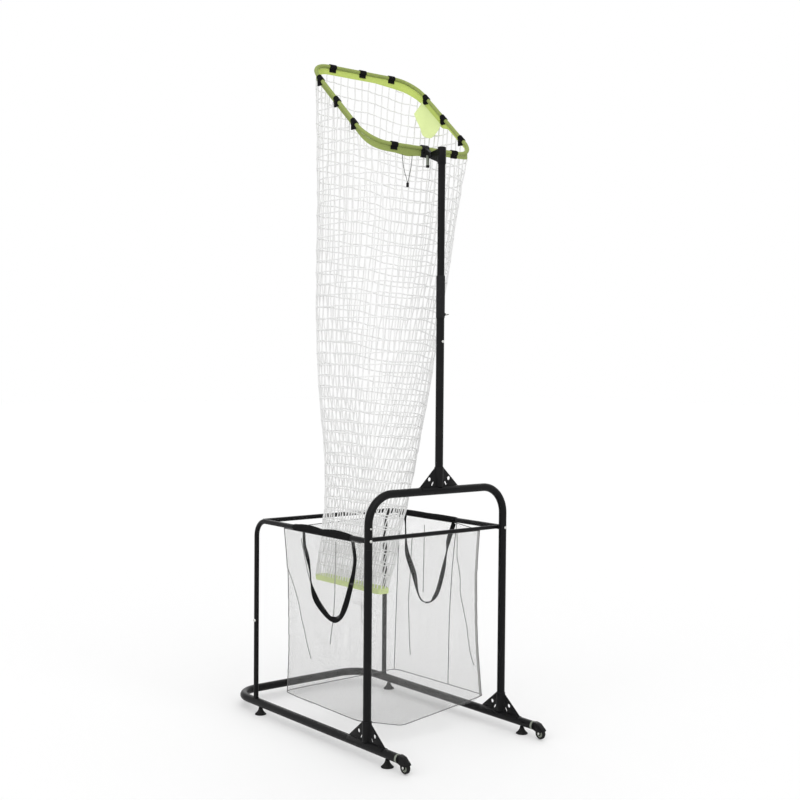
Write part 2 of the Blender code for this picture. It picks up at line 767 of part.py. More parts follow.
def build_casters(parent, coat, rubber, steel):
    """Build each caster: a hooded fork plugged into the arm, an axle and a wheel."""
    for side in SIDES:
        axle = Vector((POST_X + WHEEL_OVERHANG, side_y(side), WHEEL_Z))
        build_fork(side, parent, coat, axle)
        build_axle(side, parent, steel, axle)
        build_wheel(side, rubber, axle)


def fork_half_width():
    """Return the distance from a wheel's middle plane to the outside of its fork."""
    return WHEEL_WIDTH / 2 + FORK_SIDE_GAP + FORK_PLATE


def build_fork(side, parent, coat, axle):
    """Build one fork: a curved hood with two cheeks, a flange and a plug for the arm's end."""
    arm_end = -(WHEEL_OVERHANG - ARM_OVERHANG) + SEAT
    hood_r = WHEEL_R + FORK_HOOD_GAP
    lift = BASE_Z - WHEEL_Z
    hood = [
        (arm_end, lift - FORK_HEEL),
        (arm_end, lift + BASE_R),
        (arm_end + FORK_SHOULDER, lift + BASE_R),
        (arm_end + FORK_BROW, lift + BASE_R - FORK_BROW_DROP),
    ]
    hood += arc_points((0, 0), hood_r, FORK_CREST, FORK_NOSE, BEND_STEPS)
    hood += arc_points((0, 0), FORK_LUG_R, FORK_LUG_START, FORK_LUG_END, LUG_STEPS)
    width = 2 * fork_half_width()
    obj = finish(f"caster_fork_{side}", slab(hood, width, axle, AHEAD, UP), coat, axle, parent)
    start = axle + AHEAD * arm_end + UP * lift
    plug_r = BASE_R - BASE_WALL - SEAT
    steps = ((-FORK_PLUG, plug_r), (0, plug_r), (0, BASE_R), (FORK_FLANGE, BASE_R))
    combine(obj, [tool(straight_rod(start, AHEAD, steps, TUBE_SIDES))], "UNION")
    well_r = WHEEL_R + FORK_HOOD_GAP / 2
    well_half = WHEEL_WIDTH / 2 + FORK_SIDE_GAP
    well = round_tool(axle, ACROSS, -well_half, well_half, well_r, TUBE_SIDES)
    mouth = [(0, well_r), (-well_r, 0), (-well_r, -2 * well_r), (2 * well_r, -2 * well_r), (2 * well_r, 0)]
    gap = tool(slab(mouth, 2 * well_half, axle, AHEAD, UP))
    holes = round_cutters([(axle, ACROSS)], AXLE_R + SEAT, 2 * width)
    return combine(obj, [well, gap] + holes, "DIFFERENCE")


def build_axle(side, parent, steel, axle):
    """Build the axle pin with a low round head at each end."""
    steps = pin_steps(fork_half_width() + SEAT, AXLE_R, AXLE_HEAD_R, AXLE_HEAD)
    finish(f"caster_axle_{side}", straight_rod(axle, ACROSS, steps, SMALL_SIDES), steel, axle, parent)


def build_wheel(side, rubber, axle):
    """Build the wheel: a crowned tread, a dished face on each side, and a hub with a bore."""
    half = WHEEL_WIDTH / 2
    face = half - WHEEL_RECESS
    draft = WHEEL_RECESS / 2
    right = [(half - WHEEL_CROWN, WHEEL_R), (half, WHEEL_R - WHEEL_RECESS), (half, RIM_R),
             (face, RIM_R - draft), (face, HUB_R + draft), (half, HUB_R), (half, AXLE_R + RUNNING)]
    outline = [(-d, r) for d, r in reversed(right)] + right
    bm = bmesh.new()
    skin(bm, [circle(axle + ACROSS * d, AHEAD, UP, r, TUBE_SIDES) for d, r in outline], closed=True)
    carrier = make_empty(f"wheel_{side}_spin", axle)
    finish(f"caster_wheel_{side}", bm, rubber, axle, carrier, CRISP_ANGLE)


def build_mast(parent, coat, steel, plastic):
    """Build the lower mast, its gusset foot, the stop bolt, and the clamp collar round its top."""
    seat = Vector((POST_X, 0, ARCH_Z))
    gusset_foot("mast_foot", parent, coat, seat, ACROSS, MAST_R, POST_R, MAST_FOOT_HALF)
    axis_foot = Vector((POST_X, 0, 0))
    foot_z = ARCH_TOP_Z + SEAT + FOOT_SADDLE_WALL + SEAT
    steps = ((foot_z, MAST_R, MAST_BORE_R), (MAST_LOWER_TOP_Z, MAST_R, MAST_BORE_R))
    origin = axis_foot + UP * foot_z
    lower = finish("mast_lower", straight_tube(axis_foot, UP, steps, TUBE_SIDES), coat, origin, parent)
    bolt = [(axis_foot + UP * STOP_BOLT_Z, AHEAD)]
    clamp = [(axis_foot + UP * CLAMP_Z + ACROSS * MAST_R, ACROSS)]
    combine(lower, round_cutters(bolt, BOLT_R + RUNNING, 2 * MAST_OD), "DIFFERENCE")
    combine(lower, round_cutters(clamp, CLAMP_SCREW_R + RUNNING, MAST_R), "DIFFERENCE")
    bolt_steps = pin_steps(MAST_R + SEAT, BOLT_R, BOLT_HEAD_R, BOLT_HEAD)
    place = axis_foot + UP * STOP_BOLT_Z
    finish("mast_stop_bolt", straight_rod(place, AHEAD, bolt_steps, SMALL_SIDES), steel, place, parent)
    build_collar(axis_foot, parent, plastic)


def build_collar(axis_foot, parent, plastic):
    """Build the collar: a sleeve on the lower mast, a lip that guides the upper mast, and a screw boss."""
    bore = MAST_R + SEAT
    outer = bore + COLLAR_WALL
    lip = MAST_UPPER_R + RUNNING
    lip_z = MAST_LOWER_TOP_Z + SEAT
    chamfer = COLLAR_WALL / 2
    steps = (
        (COLLAR_FOOT_Z, outer - chamfer, bore),
        (COLLAR_FOOT_Z + chamfer, outer, bore),
        (lip_z, outer, bore),
        (lip_z, outer, lip),
        (COLLAR_TOP_Z - chamfer, outer, lip),
        (COLLAR_TOP_Z, outer - chamfer, lip),
    )
    origin = axis_foot + UP * CLAMP_Z
    obj = finish("mast_collar", straight_tube(axis_foot, UP, steps, TUBE_SIDES), plastic, origin, parent)
    boss = round_tool(origin, ACROSS, bore + chamfer, outer + CLAMP_BOSS, CLAMP_BOSS_R)
    combine(obj, [boss], "UNION")
    hole = round_cutters([(origin + ACROSS * outer, ACROSS)], CLAMP_SCREW_R + RUNNING, 4 * CLAMP_BOSS)
    combine(obj, hole, "DIFFERENCE")


def build_height_clamp(steel):
    """Build the clamp screw whose tip meets the upper mast, with a thin cross bar to turn it by."""
    origin = Vector((POST_X, 0, CLAMP_Z))
    tip = MAST_UPPER_R + SEAT
    neck = MAST_R + SEAT + COLLAR_WALL + CLAMP_BOSS + SEAT
    end = neck + CLAMP_SHANK
    steps = ((tip, CLAMP_SCREW_R), (neck, CLAMP_SCREW_R), (neck, CLAMP_SHANK_R), (end, CLAMP_SHANK_R))
    carrier = make_empty("height_clamp_turn", origin)
    screw = straight_rod(origin, ACROSS, steps, SMALL_SIDES)
    obj = finish("height_clamp", screw, steel, origin + ACROSS * neck, carrier)
    middle = origin + ACROSS * (end - CLAMP_SHANK_R)
    bar = round_tool(middle, AHEAD, -CLAMP_BAR / 2, CLAMP_BAR / 2, CLAMP_BAR_R)
    combine(obj, [bar], "UNION")


def build_mast_upper(parent, coat):
    """Build the sliding upper mast and the head that caps it, with two ears for the tilt bolt."""
    axis_foot = Vector((POST_X, 0, 0))
    wall_bore = MAST_UPPER_R - MAST_WALL
    cap_z = MAST_TOP_Z - HEAD_CAP
    steps = ((MAST_UPPER_FOOT_Z, MAST_UPPER_R, wall_bore), (cap_z - SEAT, MAST_UPPER_R, wall_bore))
    origin = axis_foot + UP * MAST_UPPER_FOOT_Z
    finish("mast_upper", straight_tube(axis_foot, UP, steps, TUBE_SIDES), coat, origin, parent)
    pivot = Vector((POST_X - TILT_SETBACK, 0, TILT_Z))
    sleeve_r = MAST_UPPER_R + SEAT + HEAD_WALL
    foot_z = MAST_TOP_Z - HEAD_SLEEVE
    sleeve_steps = (
        (foot_z, sleeve_r),
        (MAST_TOP_Z - HEAD_WALL, sleeve_r),
        (MAST_TOP_Z, sleeve_r - HEAD_WALL),
    )
    head = finish("mast_head", straight_rod(axis_foot, UP, sleeve_steps, TUBE_SIDES), coat, pivot, parent)
    reach = TILT_SETBACK
    ear = [(reach, foot_z + HEAD_WALL - TILT_Z), (reach, MAST_TOP_Z - HEAD_WALL * 2 - TILT_Z)]
    ear += arc_points((0, 0), EAR_R, EAR_START, EAR_END, BEND_STEPS)
    ears = []
    for way in (-1, 1):
        middle = pivot + ACROSS * (way * (TONGUE_WIDTH / 2 + RUNNING + EAR_THICK / 2))
        ears.append(tool(slab(ear, EAR_THICK, middle, AHEAD, UP)))
    combine(head, ears, "UNION")
    bore = round_tool(axis_foot, UP, foot_z - HEAD_CAP, cap_z, MAST_UPPER_R + SEAT, TUBE_SIDES)
    hole = round_cutters([(pivot, ACROSS)], TILT_BOLT_R + RUNNING, 2 * (TONGUE_WIDTH + 2 * EAR_THICK))
    combine(head, [bore] + hole, "DIFFERENCE")
    return pivot


def build_tilt_bolt(parent, steel, pivot):
    """Build the bolt that the hoop tilts on."""
    reach = TONGUE_WIDTH / 2 + RUNNING + EAR_THICK + SEAT
    steps = pin_steps(reach, TILT_BOLT_R, TILT_BOLT_HEAD_R, TILT_BOLT_HEAD)
    finish("tilt_bolt", straight_rod(pivot, ACROSS, steps, SMALL_SIDES), steel, pivot, parent)


class HoopPlane:
    """Places on the tilted plane of the catch hoop."""

    def __init__(self):
        self.origin = Vector((POST_X - HOOP_SETBACK, 0, HOOP_Z))
        self.slope = Vector((-math.cos(HOOP_TILT), 0, math.sin(HOOP_TILT)))

    def centreline(self):
        """Return the closed loop of points along the hoop tube's axis."""
        half = HOOP_SIDE / 2
        loop = rounded_rectangle(half, half, HOOP_CORNER)
        return [self.origin + self.slope * (a + half) + ACROSS * b for a, b in loop]

    def frames(self):
        """Return (point, tangent, level side vector) at each point of the centreline."""
        points = self.centreline()
        found = []
        for i, point in enumerate(points):
            tangent = (points[(i + 1) % len(points)] - points[i - 1]).normalized()
            found.append((point, tangent, tangent.cross(UP).normalized()))
        return found

    def strap_places(self):
        """Return (point, tangent) under each strap: at the middle and the ends of each straight run."""
        half = HOOP_SIDE / 2
        pitch = half - HOOP_CORNER - STRAP_CLEAR - STRAP_WIDTH / 2
        places = []
        for step in (-1, 0, 1):
            shift = step * pitch
            places.append((self.origin + self.slope * HOOP_SIDE + ACROSS * shift, ACROSS))
            places.append((self.origin + self.slope * (half + shift) + ACROSS * half, self.slope))
            places.append((self.origin + self.slope * (half + shift) - ACROSS * half, self.slope))
            if step:
                places.append((self.origin + ACROSS * shift, ACROSS))
        return places


def build_hoop(parent, pole, strap_web, lime):
    """Build the hoop tube, its cloth border and the straps that hold the border on."""
    plane = HoopPlane()
    normal = plane.slope.cross(ACROSS)
    loops = [circle(p, normal, t.cross(normal), HOOP_TUBE_R, SMALL_SIDES) for p, t, n in plane.frames()]
    bm = bmesh.new()
    skin(bm, loops, closed=True)
    finish("hoop_tube", bm, pole, plane.origin, parent)
    build_border(plane, parent, lime)
    for number, (place, tangent) in enumerate(plane.strap_places(), 1):
        build_strap(f"strap_{number:02d}", parent, strap_web, place, tangent)


def border_edge(plane, below, across):
    """Return a loop under the hoop tube, some way below it and to one side of its middle plane."""
    loop = []
    for point, tangent, side in plane.frames():
        level = math.hypot(tangent.x, tangent.y)
        drop = (HOOP_TUBE_R + SEAT) / level + below
        loop.append(point - UP * drop + side * across)
    return loop


def build_border(plane, parent, lime):
    """Build the border cloth that hangs under the hoop, cut away round the hoop clamp."""
    half = BORDER_THICK / 2
    bm = bmesh.new()
    loops = [border_edge(plane, 0, half), border_edge(plane, BORDER_DROP, half),
             border_edge(plane, BORDER_DROP, -half), border_edge(plane, 0, -half)]
    skin(bm, loops, closed=True)
    obj = finish("hoop_border", bm, lime, plane.origin, parent)
    notch = slab([(-JAW_WIDTH / 2 - SEAT, -BORDER_NOTCH), (JAW_WIDTH / 2 + SEAT, -BORDER_NOTCH),
                  (JAW_WIDTH / 2 + SEAT, BORDER_NOTCH), (-JAW_WIDTH / 2 - SEAT, BORDER_NOTCH)],
                 BORDER_DROP, plane.origin, ACROSS, UP)
    combine(obj, [tool(notch)], "DIFFERENCE")


def build_strap(name, parent, web, place, tangent):
    """Build one hook-and-loop strap: round the tube, and straight down both faces of the border."""
    side = tangent.cross(UP).normalized()
    down = tangent.cross(side)
    inner_r = (HOOP_TUBE_R + SEAT) / math.cos(math.pi / STRAP_STEPS)
    outer_r = inner_r + STRAP_THICK
    inner_x = BORDER_THICK / 2 + SEAT
    outer_x = inner_x + STRAP_THICK
    inner_start = math.asin(inner_x / inner_r)
    outer_start = math.asin(outer_x / outer_r)
    tail = inner_r + STRAP_TAIL
    turn = 2 * math.pi
    outer_arc = arc_points((0, 0), outer_r, -outer_start, outer_start - turn, STRAP_STEPS)
    inner_arc = arc_points((0, 0), inner_r, inner_start - turn, -inner_start, STRAP_STEPS)
    outline = [(outer_x, tail)]
    outline += [(-b, a) for a, b in outer_arc]
    outline += [(-outer_x, tail), (-inner_x, tail)]
    outline += [(-b, a) for a, b in inner_arc]
    outline += [(inner_x, tail)]
    bm = slab(outline, STRAP_WIDTH, place, side, down)
    for vert in bm.verts:
        below = max(0.0, (vert.co - place).dot(down) - inner_r / 2)
        vert.co -= tangent * (below * tangent.z / math.hypot(tangent.x, tangent.y))
    finish(name, bm, web, place, parent)


def build_hoop_clamp(parent, coat, pivot):
    """Build the clamp: an eye on the tilt bolt, a tongue, and a jaw round the hoop tube."""
    plane = HoopPlane()
    reach = plane.origin - pivot
    along = reach.normalized()
    upright = along.cross(ACROSS).normalized()
    length = reach.length
    half = TONGUE_THICK / 2
    tongue = [(0, -half), (0, half), (length, half), (length, -half)]
    obj = finish("hoop_clamp", slab(tongue, TONGUE_WIDTH, pivot, along, upright), coat, pivot, parent)
    eye_r = EAR_R - SEAT
    eye = round_tool(pivot, ACROSS, -TONGUE_WIDTH / 2, TONGUE_WIDTH / 2, eye_r, TUBE_SIDES)
    jaw_r = HOOP_TUBE_R + SEAT + JAW_WALL
    jaw = round_tool(plane.origin, ACROSS, -JAW_WIDTH / 2, JAW_WIDTH / 2, jaw_r, TUBE_SIDES)
    boss = round_tool(knob_seat(), UP, 0, TONGUE_THICK, KNOB_R)
    combine(obj, [eye, jaw, boss], "UNION")
    bore = round_tool(plane.origin, ACROSS, -JAW_WIDTH, JAW_WIDTH, HOOP_TUBE_R + SEAT, SMALL_SIDES * 2)
    screw = round_tool(knob_seat(), UP, -SEAT, KNOB_SCREW_REACH + 2 * SEAT, KNOB_SCREW_R + RUNNING)
    holes = round_cutters([(pivot, ACROSS)], TILT_BOLT_R + RUNNING, 2 * TONGUE_WIDTH)
    combine(obj, [bore, screw] + holes, "DIFFERENCE")


def knob_seat():
    """Return the middle of the face that the clamp knob screws up against."""
    plane = HoopPlane()
    share = (KNOB_SETBACK - TILT_SETBACK) / (HOOP_SETBACK - TILT_SETBACK)
    rise = (plane.origin.z - TILT_Z) * share
    return Vector((POST_X - KNOB_SETBACK, 0, TILT_Z + rise - TONGUE_THICK))


def build_clamp_knob(parent, steel):
    """Build the clamp knob: a fluted grip with a dark cap below and a screw above."""
    seat = knob_seat() - UP * SEAT
    carrier = make_empty("clamp_knob_turn", seat, parent)
    grip = bmesh.new()
    outline = []
    count = FLUTE_STEPS * KNOB_LOBES
    for i in range(count):
        radius = KNOB_R - KNOB_FLUTE * (i % FLUTE_STEPS == 0)
        angle = 2 * math.pi * i / count
        outline.append((radius * math.cos(angle), radius * math.sin(angle)))
    loops = [[seat - UP * d + AHEAD * a + ACROSS * b for a, b in outline] for d in (0, KNOB_LENGTH)]
    rings = skin(grip, loops)
    grip.faces.new(rings[0])
    grip.faces.new(rings[-1])
    obj = finish("clamp_knob", grip, steel, seat, carrier)
    cap = tool(straight_rod(seat, -UP, domed_head(KNOB_LENGTH - SEAT, KNOB_CAP_R, KNOB_CAP), SMALL_SIDES))
    screw = round_tool(seat, UP, -SEAT, KNOB_SCREW_REACH, KNOB_SCREW_R)
    combine(obj, [cap, screw], "UNION")


def net_loop(plane, row, inset):
    """Return one level of the net: row 0 follows the border's lower edge, and the last meets the hem."""
    if row == 0:
        return border_edge(plane, BORDER_DROP + NET_SEAT, inset - BORDER_THICK / 2)
    height, setback, across, half_long, half_wide = (NET_SECTIONS + (hem_row(),))[row - 1]
    corner = min(HOOP_CORNER, ROUNDING * half_wide)
    loop = rounded_rectangle(half_long - inset, half_wide - inset, corner - inset)
    return [Vector((POST_X - setback - a, across + b, height)) for a, b in loop]


def hem_row():
    """Return the net's lowest section, which ends just above the hem."""
    return (HEM_TOP_Z + SEAT, HEM_SETBACK, HEM_ACROSS, *HEM_HALF)


def net_stations(loop, sewn):
    """Return (segment, share, is an upright's first edge) round one level, each upright as two stations.

    The uprights are spread evenly from the middle of the loop's last side. A sewn level also keeps the loop's
    own corners, so that it follows the cloth that carries it.
    """
    runs = [0.0]
    for point, following in zip(loop, loop[1:] + loop[:1]):
        runs.append(runs[-1] + (following - point).length)
    middle = runs[-1] - (loop[0] - loop[-HOOP_SIDE_STEPS]).length / 2
    pitch = runs[-1] / NET_UPRIGHTS
    first = middle - NET_BAR / 2
    marks = []
    for number in range(NET_UPRIGHTS):
        marks += [(number * pitch, True), (number * pitch + NET_BAR, False)]
    if sewn:
        bends = [run for i, run in enumerate(runs[:-1]) if i % (HOOP_STEPS + HOOP_SIDE_STEPS) <= HOOP_STEPS]
        distances = [(run - first) % runs[-1] for run in bends]
        marks += [(d, False) for d in distances if NET_BAR * 1.5 < d % pitch < pitch - NET_BAR / 2]
    stations = []
    for distance, upright in sorted(marks):
        run = (first + distance) % runs[-1]
        segment = max(i for i in range(len(loop)) if runs[i] <= run)
        stations.append((segment, (run - runs[segment]) / (runs[segment + 1] - runs[segment]), upright))
    return stations


def net_bar(bm, plane, row, last):
    """Build one level bar of the net, open where uprights meet it, and return those places' edges.

    Each place is its upper and its lower four corners, which run from the outer to the inner side.
    """
    outer = net_loop(plane, row, 0)
    inner = net_loop(plane, row, NET_THICK)
    stations = net_stations(outer, row in (0, last))
    high = {0: 0.0, last: NET_BAR}.get(row, NET_BAR / 2)
    rings = []
    for loop, lift in ((outer, high), (outer, high - NET_BAR), (inner, high - NET_BAR), (inner, high)):
        ring = []
        for segment, share, upright in stations:
            point = loop[segment].lerp(loop[(segment + 1) % len(loop)], share)
            ring.append(bm.verts.new(point + UP * lift))
        rings.append(ring)
    places = []
    for i, (segment, share, upright) in enumerate(stations):
        j = (i + 1) % len(stations)
        upper = (rings[0][i], rings[0][j], rings[3][j], rings[3][i])
        lower = (rings[1][i], rings[1][j], rings[2][j], rings[2][i])
        bm.faces.new((upper[0], upper[1], lower[1], lower[0]))
        bm.faces.new((upper[2], upper[3], lower[3], lower[2]))
        if not upright or row == 0:
            bm.faces.new(upper)
        if not upright or row == last:
            bm.faces.new(lower)
        if upright:
            places.append((upper, lower))
    return places


def build_net(parent, cord_white, lime):
    """Build the chute as a coarse grid of bars, open at the hoop and at the hem, and its hem band."""
    plane = HoopPlane()
    last = len(NET_SECTIONS) + 1
    bm = bmesh.new()
    levels = [net_bar(bm, plane, row, last) for row in range(last + 1)]
    for above, below in zip(levels, levels[1:]):
        for (upper, lower), (next_upper, next_lower) in zip(above, below):
            for i in range(4):
                j = (i + 1) % 4
                bm.faces.new((lower[i], lower[j], next_upper[j], next_upper[i]))
    finish("net_chute", bm, cord_white, plane.origin, parent, CRISP_ANGLE)
    hem = bmesh.new()
    loops = []
    for inset, height in ((0, HEM_TOP_Z), (0, HEM_TOP_Z - HEM_HEIGHT),
                          (HEM_THICK, HEM_TOP_Z - HEM_HEIGHT), (HEM_THICK, HEM_TOP_Z)):
        half_long, half_wide = HEM_HALF
        flat = rounded_rectangle(half_long - inset, half_wide - inset, ROUNDING * half_wide - inset)
        loops.append([Vector((POST_X - HEM_SETBACK - a, HEM_ACROSS + b, height)) for a, b in flat])
    skin(hem, loops, closed=True)
    finish("net_hem", hem, lime, Vector((POST_X - HEM_SETBACK, HEM_ACROSS, HEM_TOP_Z)), parent, SOFT_ANGLE)


def build_cord(parent, dark):
    """Build the draw cord that hangs in a loop under the border, and the lock that gathers it."""
    plane = HoopPlane()
    drop = HOOP_TUBE_R + SEAT + BORDER_DROP
    top = plane.origin + AHEAD * (BORDER_THICK / 2 + SEAT + CORD_R) - UP * drop
    route = [top + Vector(place) for place in CORD_ROUTE]
    curve = bpy.data.curves.new("draw_cord", "CURVE")
    curve.dimensions = "3D"
    curve.bevel_depth = CORD_R
    curve.bevel_resolution = 2
    curve.use_fill_caps = True
    spline = curve.splines.new("POLY")
    smooth = smooth_route(route, CORD_STEPS)
    spline.points.add(len(smooth) - 1)
    origin = top
    for point, place in zip(spline.points, smooth):
        point.co = (*(place - origin), 1.0)
    curve.materials.append(dark)
    cord = bpy.data.objects.new("draw_cord", curve)
    bpy.context.scene.collection.objects.link(cord)
    cord.parent = parent
    cord.location = origin - world_place(parent)
    lowest = min(route, key=lambda place: place.z)
    lock_top = lowest - UP * (CORD_R + SEAT)
    ease = LOCK_R / 2
    steps = (
        (0, LOCK_R * BLUNT_END),
        (ease, LOCK_R),
        (LOCK_LENGTH - ease, LOCK_R),
        (LOCK_LENGTH, LOCK_R * BLUNT_END),
    )
    finish("cord_lock", straight_rod(lock_top, -UP, steps, SMALL_SIDES), dark, lock_top, parent)


def smooth_route(route, steps):
    """Return points along a Catmull-Rom curve through the route's own points."""
    padded = [2 * route[0] - route[1]] + route + [2 * route[-1] - route[-2]]
    found = []
    for a, b, c, d in zip(padded, padded[1:], padded[2:], padded[3:]):
        for step in range(steps):
            t = step / steps
            found.append(0.5 * (2 * b + (c - a) * t + (2 * a - 5 * b + 4 * c - d) * t ** 2
                                + (3 * b - a - 3 * c + d) * t ** 3))
    found.append(route[-1])
    return found


def bag_rim_z(carrier):
    """Return the height of the bag's rim where it hangs from a rail's sleeve or from the rod."""
    if carrier == "rod":
        return RAIL_Z - BAG_ROD_OD / 2 - SEAT
    return RAIL_Z - RAIL_R - SEAT - SLEEVE_WALL - SEAT


def inset_ring(points, inset):
    """Return a flat ring of corners moved inwards by a distance."""
    count = len(points)
    moved = []
    for i, corner in enumerate(points):
        before = (corner - points[i - 1]).normalized()
        after = (points[(i + 1) % count] - corner).normalized()
        normal = (before.cross(UP) + after.cross(UP)).normalized()
        depth = inset / normal.dot(before.cross(UP))
        moved.append(corner - normal * depth)
    return moved


def build_bag(parent, mesh_cloth):
    """Build the ball bag: a floor and walls, open at the top, that hang from the rails and the rod."""
    rim = [Vector((POST_X - back, side_y(side, inset), bag_rim_z(carrier)))
           for back, side, inset, carrier in BAG_RIM]
    floor = [Vector((POST_X - back, side_y(side, inset), BAG_FLOOR_Z)) for back, side, inset in BAG_FLOOR]
    inner_floor = [point + UP * BAG_WALL for point in inset_ring(floor, BAG_WALL)]
    bm = bmesh.new()
    cloth_shell(bm, [floor, rim], [inner_floor, inset_ring(rim, BAG_WALL)], bottom_closed=True)
    origin = Vector((POST_X - BAG_ROD_SETBACK, 0, RAIL_Z))
    finish("ball_bag", bm, mesh_cloth, origin, parent)


def build_sleeve(side, span, parent, web):
    """Build the sewn sleeve that carries one long side of the bag on its rail."""
    start = Vector((POST_X - span[0], side_y(side), RAIL_Z))
    bore = RAIL_R + SEAT
    length = span[0] - span[1]
    steps = ((0, bore + SLEEVE_WALL, bore), (length, bore + SLEEVE_WALL, bore))
    finish(f"bag_sleeve_{side}", straight_tube(start, AHEAD, steps, THIN_SIDES), web, start, parent)


def build_handle(side, span, parent, web):
    """Build one webbing handle: a flat strap sewn inside the bag's rim, which hangs in a loop."""
    seat = HALF_TRACK - BAG_WALL - SEAT - HANDLE_THICK / 2
    top = bag_rim_z("rail")
    middle = (span[0] + span[1]) / 2
    half = (span[0] - span[1]) / 2
    loop = []
    for step in range(HANDLE_STEPS + 1):
        share = 2 * step / HANDLE_STEPS - 1
        drop = HANDLE_WIDTH / 2 + HANDLE_DROP * (1 - abs(share) ** HANDLE_SHAPE)
        y = SIDES[side] * (seat - HANDLE_LEAN * drop)
        loop.append(Vector((POST_X - middle + half * share, y, top - drop)))
    bm = bmesh.new()
    rings = []
    for i, point in enumerate(loop):
        tangent = (loop[min(i + 1, HANDLE_STEPS)] - loop[max(i - 1, 0)]).normalized()
        edge = tangent.cross(ACROSS).normalized() * (HANDLE_WIDTH / 2)
        face = edge.cross(tangent).normalized() * (HANDLE_THICK / 2)
        rings.append([point + edge + face, point - edge + face, point - edge - face, point + edge - face])
    ends = skin(bm, rings)
    bm.faces.new(ends[0])
    bm.faces.new(ends[-1])
    finish(f"bag_handle_{side}", bm, web, loop[0], parent)


def build():
    """Build the whole practice net."""
    clear_scene()
    coat = make_material("black_powder_coat", (0.014, 0.014, 0.015), 0.42)
    plastic = make_material("black_plastic", (0.018, 0.018, 0.019), 0.5)
    rubber = make_material("black_rubber", (0.02, 0.02, 0.02), 0.7)
    steel = make_material("bright_steel", (0.62, 0.62, 0.60), 0.3, 1.0)
    web = make_material("black_webbing", (0.012, 0.012, 0.012), 0.85)
    pole = make_material("olive_pole", (0.26, 0.33, 0.08), 0.5)
    lime = make_material("lime_cloth", (0.55, 0.74, 0.10), 0.8)
    white = make_material("white_net", (0.86, 0.86, 0.85), 0.85)
    grey = make_material("grey_mesh", (0.66, 0.66, 0.66), 0.8)

    cart = make_empty("cart", Vector((0, 0, 0)))
    build_base(cart, coat)
    build_feet(rubber)
    build_front_posts(cart, coat, steel)
    build_arch(cart, coat)
    build_buttons(steel)
    build_side_frames(cart, coat)
    cross_tube("rear_top_bar", cart, coat, REAR_BAR_SETBACK, REAR_BAR_OD / 2)
    cross_tube("bag_rod", cart, coat, BAG_ROD_SETBACK, BAG_ROD_OD / 2)
    build_casters(cart, coat, rubber, steel)
    build_mast(cart, coat, steel, plastic)
    build_height_clamp(steel)
    build_bag(cart, grey)
    build_sleeve("right", RIGHT_SLEEVE, cart, web)
    build_sleeve("left", LEFT_SLEEVE, cart, web)
    build_handle("right", RIGHT_HANDLE, cart, web)
    build_handle("left", LEFT_HANDLE, cart, web)

    mast = make_empty("mast_height", Vector((POST_X, 0, MAST_UPPER_FOOT_Z)))
    pivot = build_mast_upper(mast, coat)
    build_tilt_bolt(mast, steel, pivot)
    build_net(mast, white, lime)

    hoop = make_empty("hoop_tilt", pivot, mast)
    build_hoop(hoop, pole, web, lime)
    build_hoop_clamp(hoop, plastic, pivot)
    build_clamp_knob(hoop, steel)
    build_cord(hoop, plastic)


if __name__ == "__main__":
    build()
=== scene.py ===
"""Looks of the volleyball practice net: smooth tubes, cloth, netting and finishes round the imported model.

Metres, +Z up, in the model's own frame: the open side of the base faces +X, left is +Y and right is -Y.
"""

import logging
import math
from dataclasses import dataclass, field
from enum import Enum

import bmesh
import bpy
import numpy as np
from bpy.types import Material, Node, NodeSocket, NodeTree, Object
from mathutils import Matrix, Vector, noise


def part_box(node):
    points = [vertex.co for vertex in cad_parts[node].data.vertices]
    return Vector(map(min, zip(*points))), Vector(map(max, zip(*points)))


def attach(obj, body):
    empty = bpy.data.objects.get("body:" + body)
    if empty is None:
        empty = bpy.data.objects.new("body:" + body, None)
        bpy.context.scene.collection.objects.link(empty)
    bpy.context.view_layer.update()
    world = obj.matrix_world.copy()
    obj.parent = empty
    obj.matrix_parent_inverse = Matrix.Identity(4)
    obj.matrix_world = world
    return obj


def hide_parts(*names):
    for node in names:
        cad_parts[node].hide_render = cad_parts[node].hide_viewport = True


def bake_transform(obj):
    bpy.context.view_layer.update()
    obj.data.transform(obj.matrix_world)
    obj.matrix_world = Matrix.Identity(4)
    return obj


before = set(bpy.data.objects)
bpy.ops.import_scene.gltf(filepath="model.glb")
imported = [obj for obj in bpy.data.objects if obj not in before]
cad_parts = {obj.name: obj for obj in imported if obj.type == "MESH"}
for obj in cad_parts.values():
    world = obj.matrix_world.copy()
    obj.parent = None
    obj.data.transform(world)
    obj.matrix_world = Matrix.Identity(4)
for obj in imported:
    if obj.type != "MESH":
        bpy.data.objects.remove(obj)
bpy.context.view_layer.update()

LOG = logging.getLogger("practice_net")

Points = list[Vector]
Edges = list[tuple[int, int]]
Colour = tuple[float, float, float]

UP = Vector((0, 0, 1))
AHEAD = Vector((1, 0, 0))
LEFT = Vector((0, 1, 0))
SIDES = {"right": -1, "left": 1}

# Places and sizes that the pieces share, as in the solids
SEAT = 0.0003
POST_X = 0.3665
HALF_TRACK = 0.350
BASE_Z = 0.049
BASE_R = 0.017
POST_R = 0.016
RAIL_Z = 0.8326
RAIL_R = 0.0105
ROD_R = 0.008
HOOP_TUBE_R = 0.008
BORDER_DROP = 0.036
HEM_TOP_Z = 0.617
HEM_SETBACK = 0.337
HEM_ACROSS = -0.180
HEM_CORNER = 0.0225


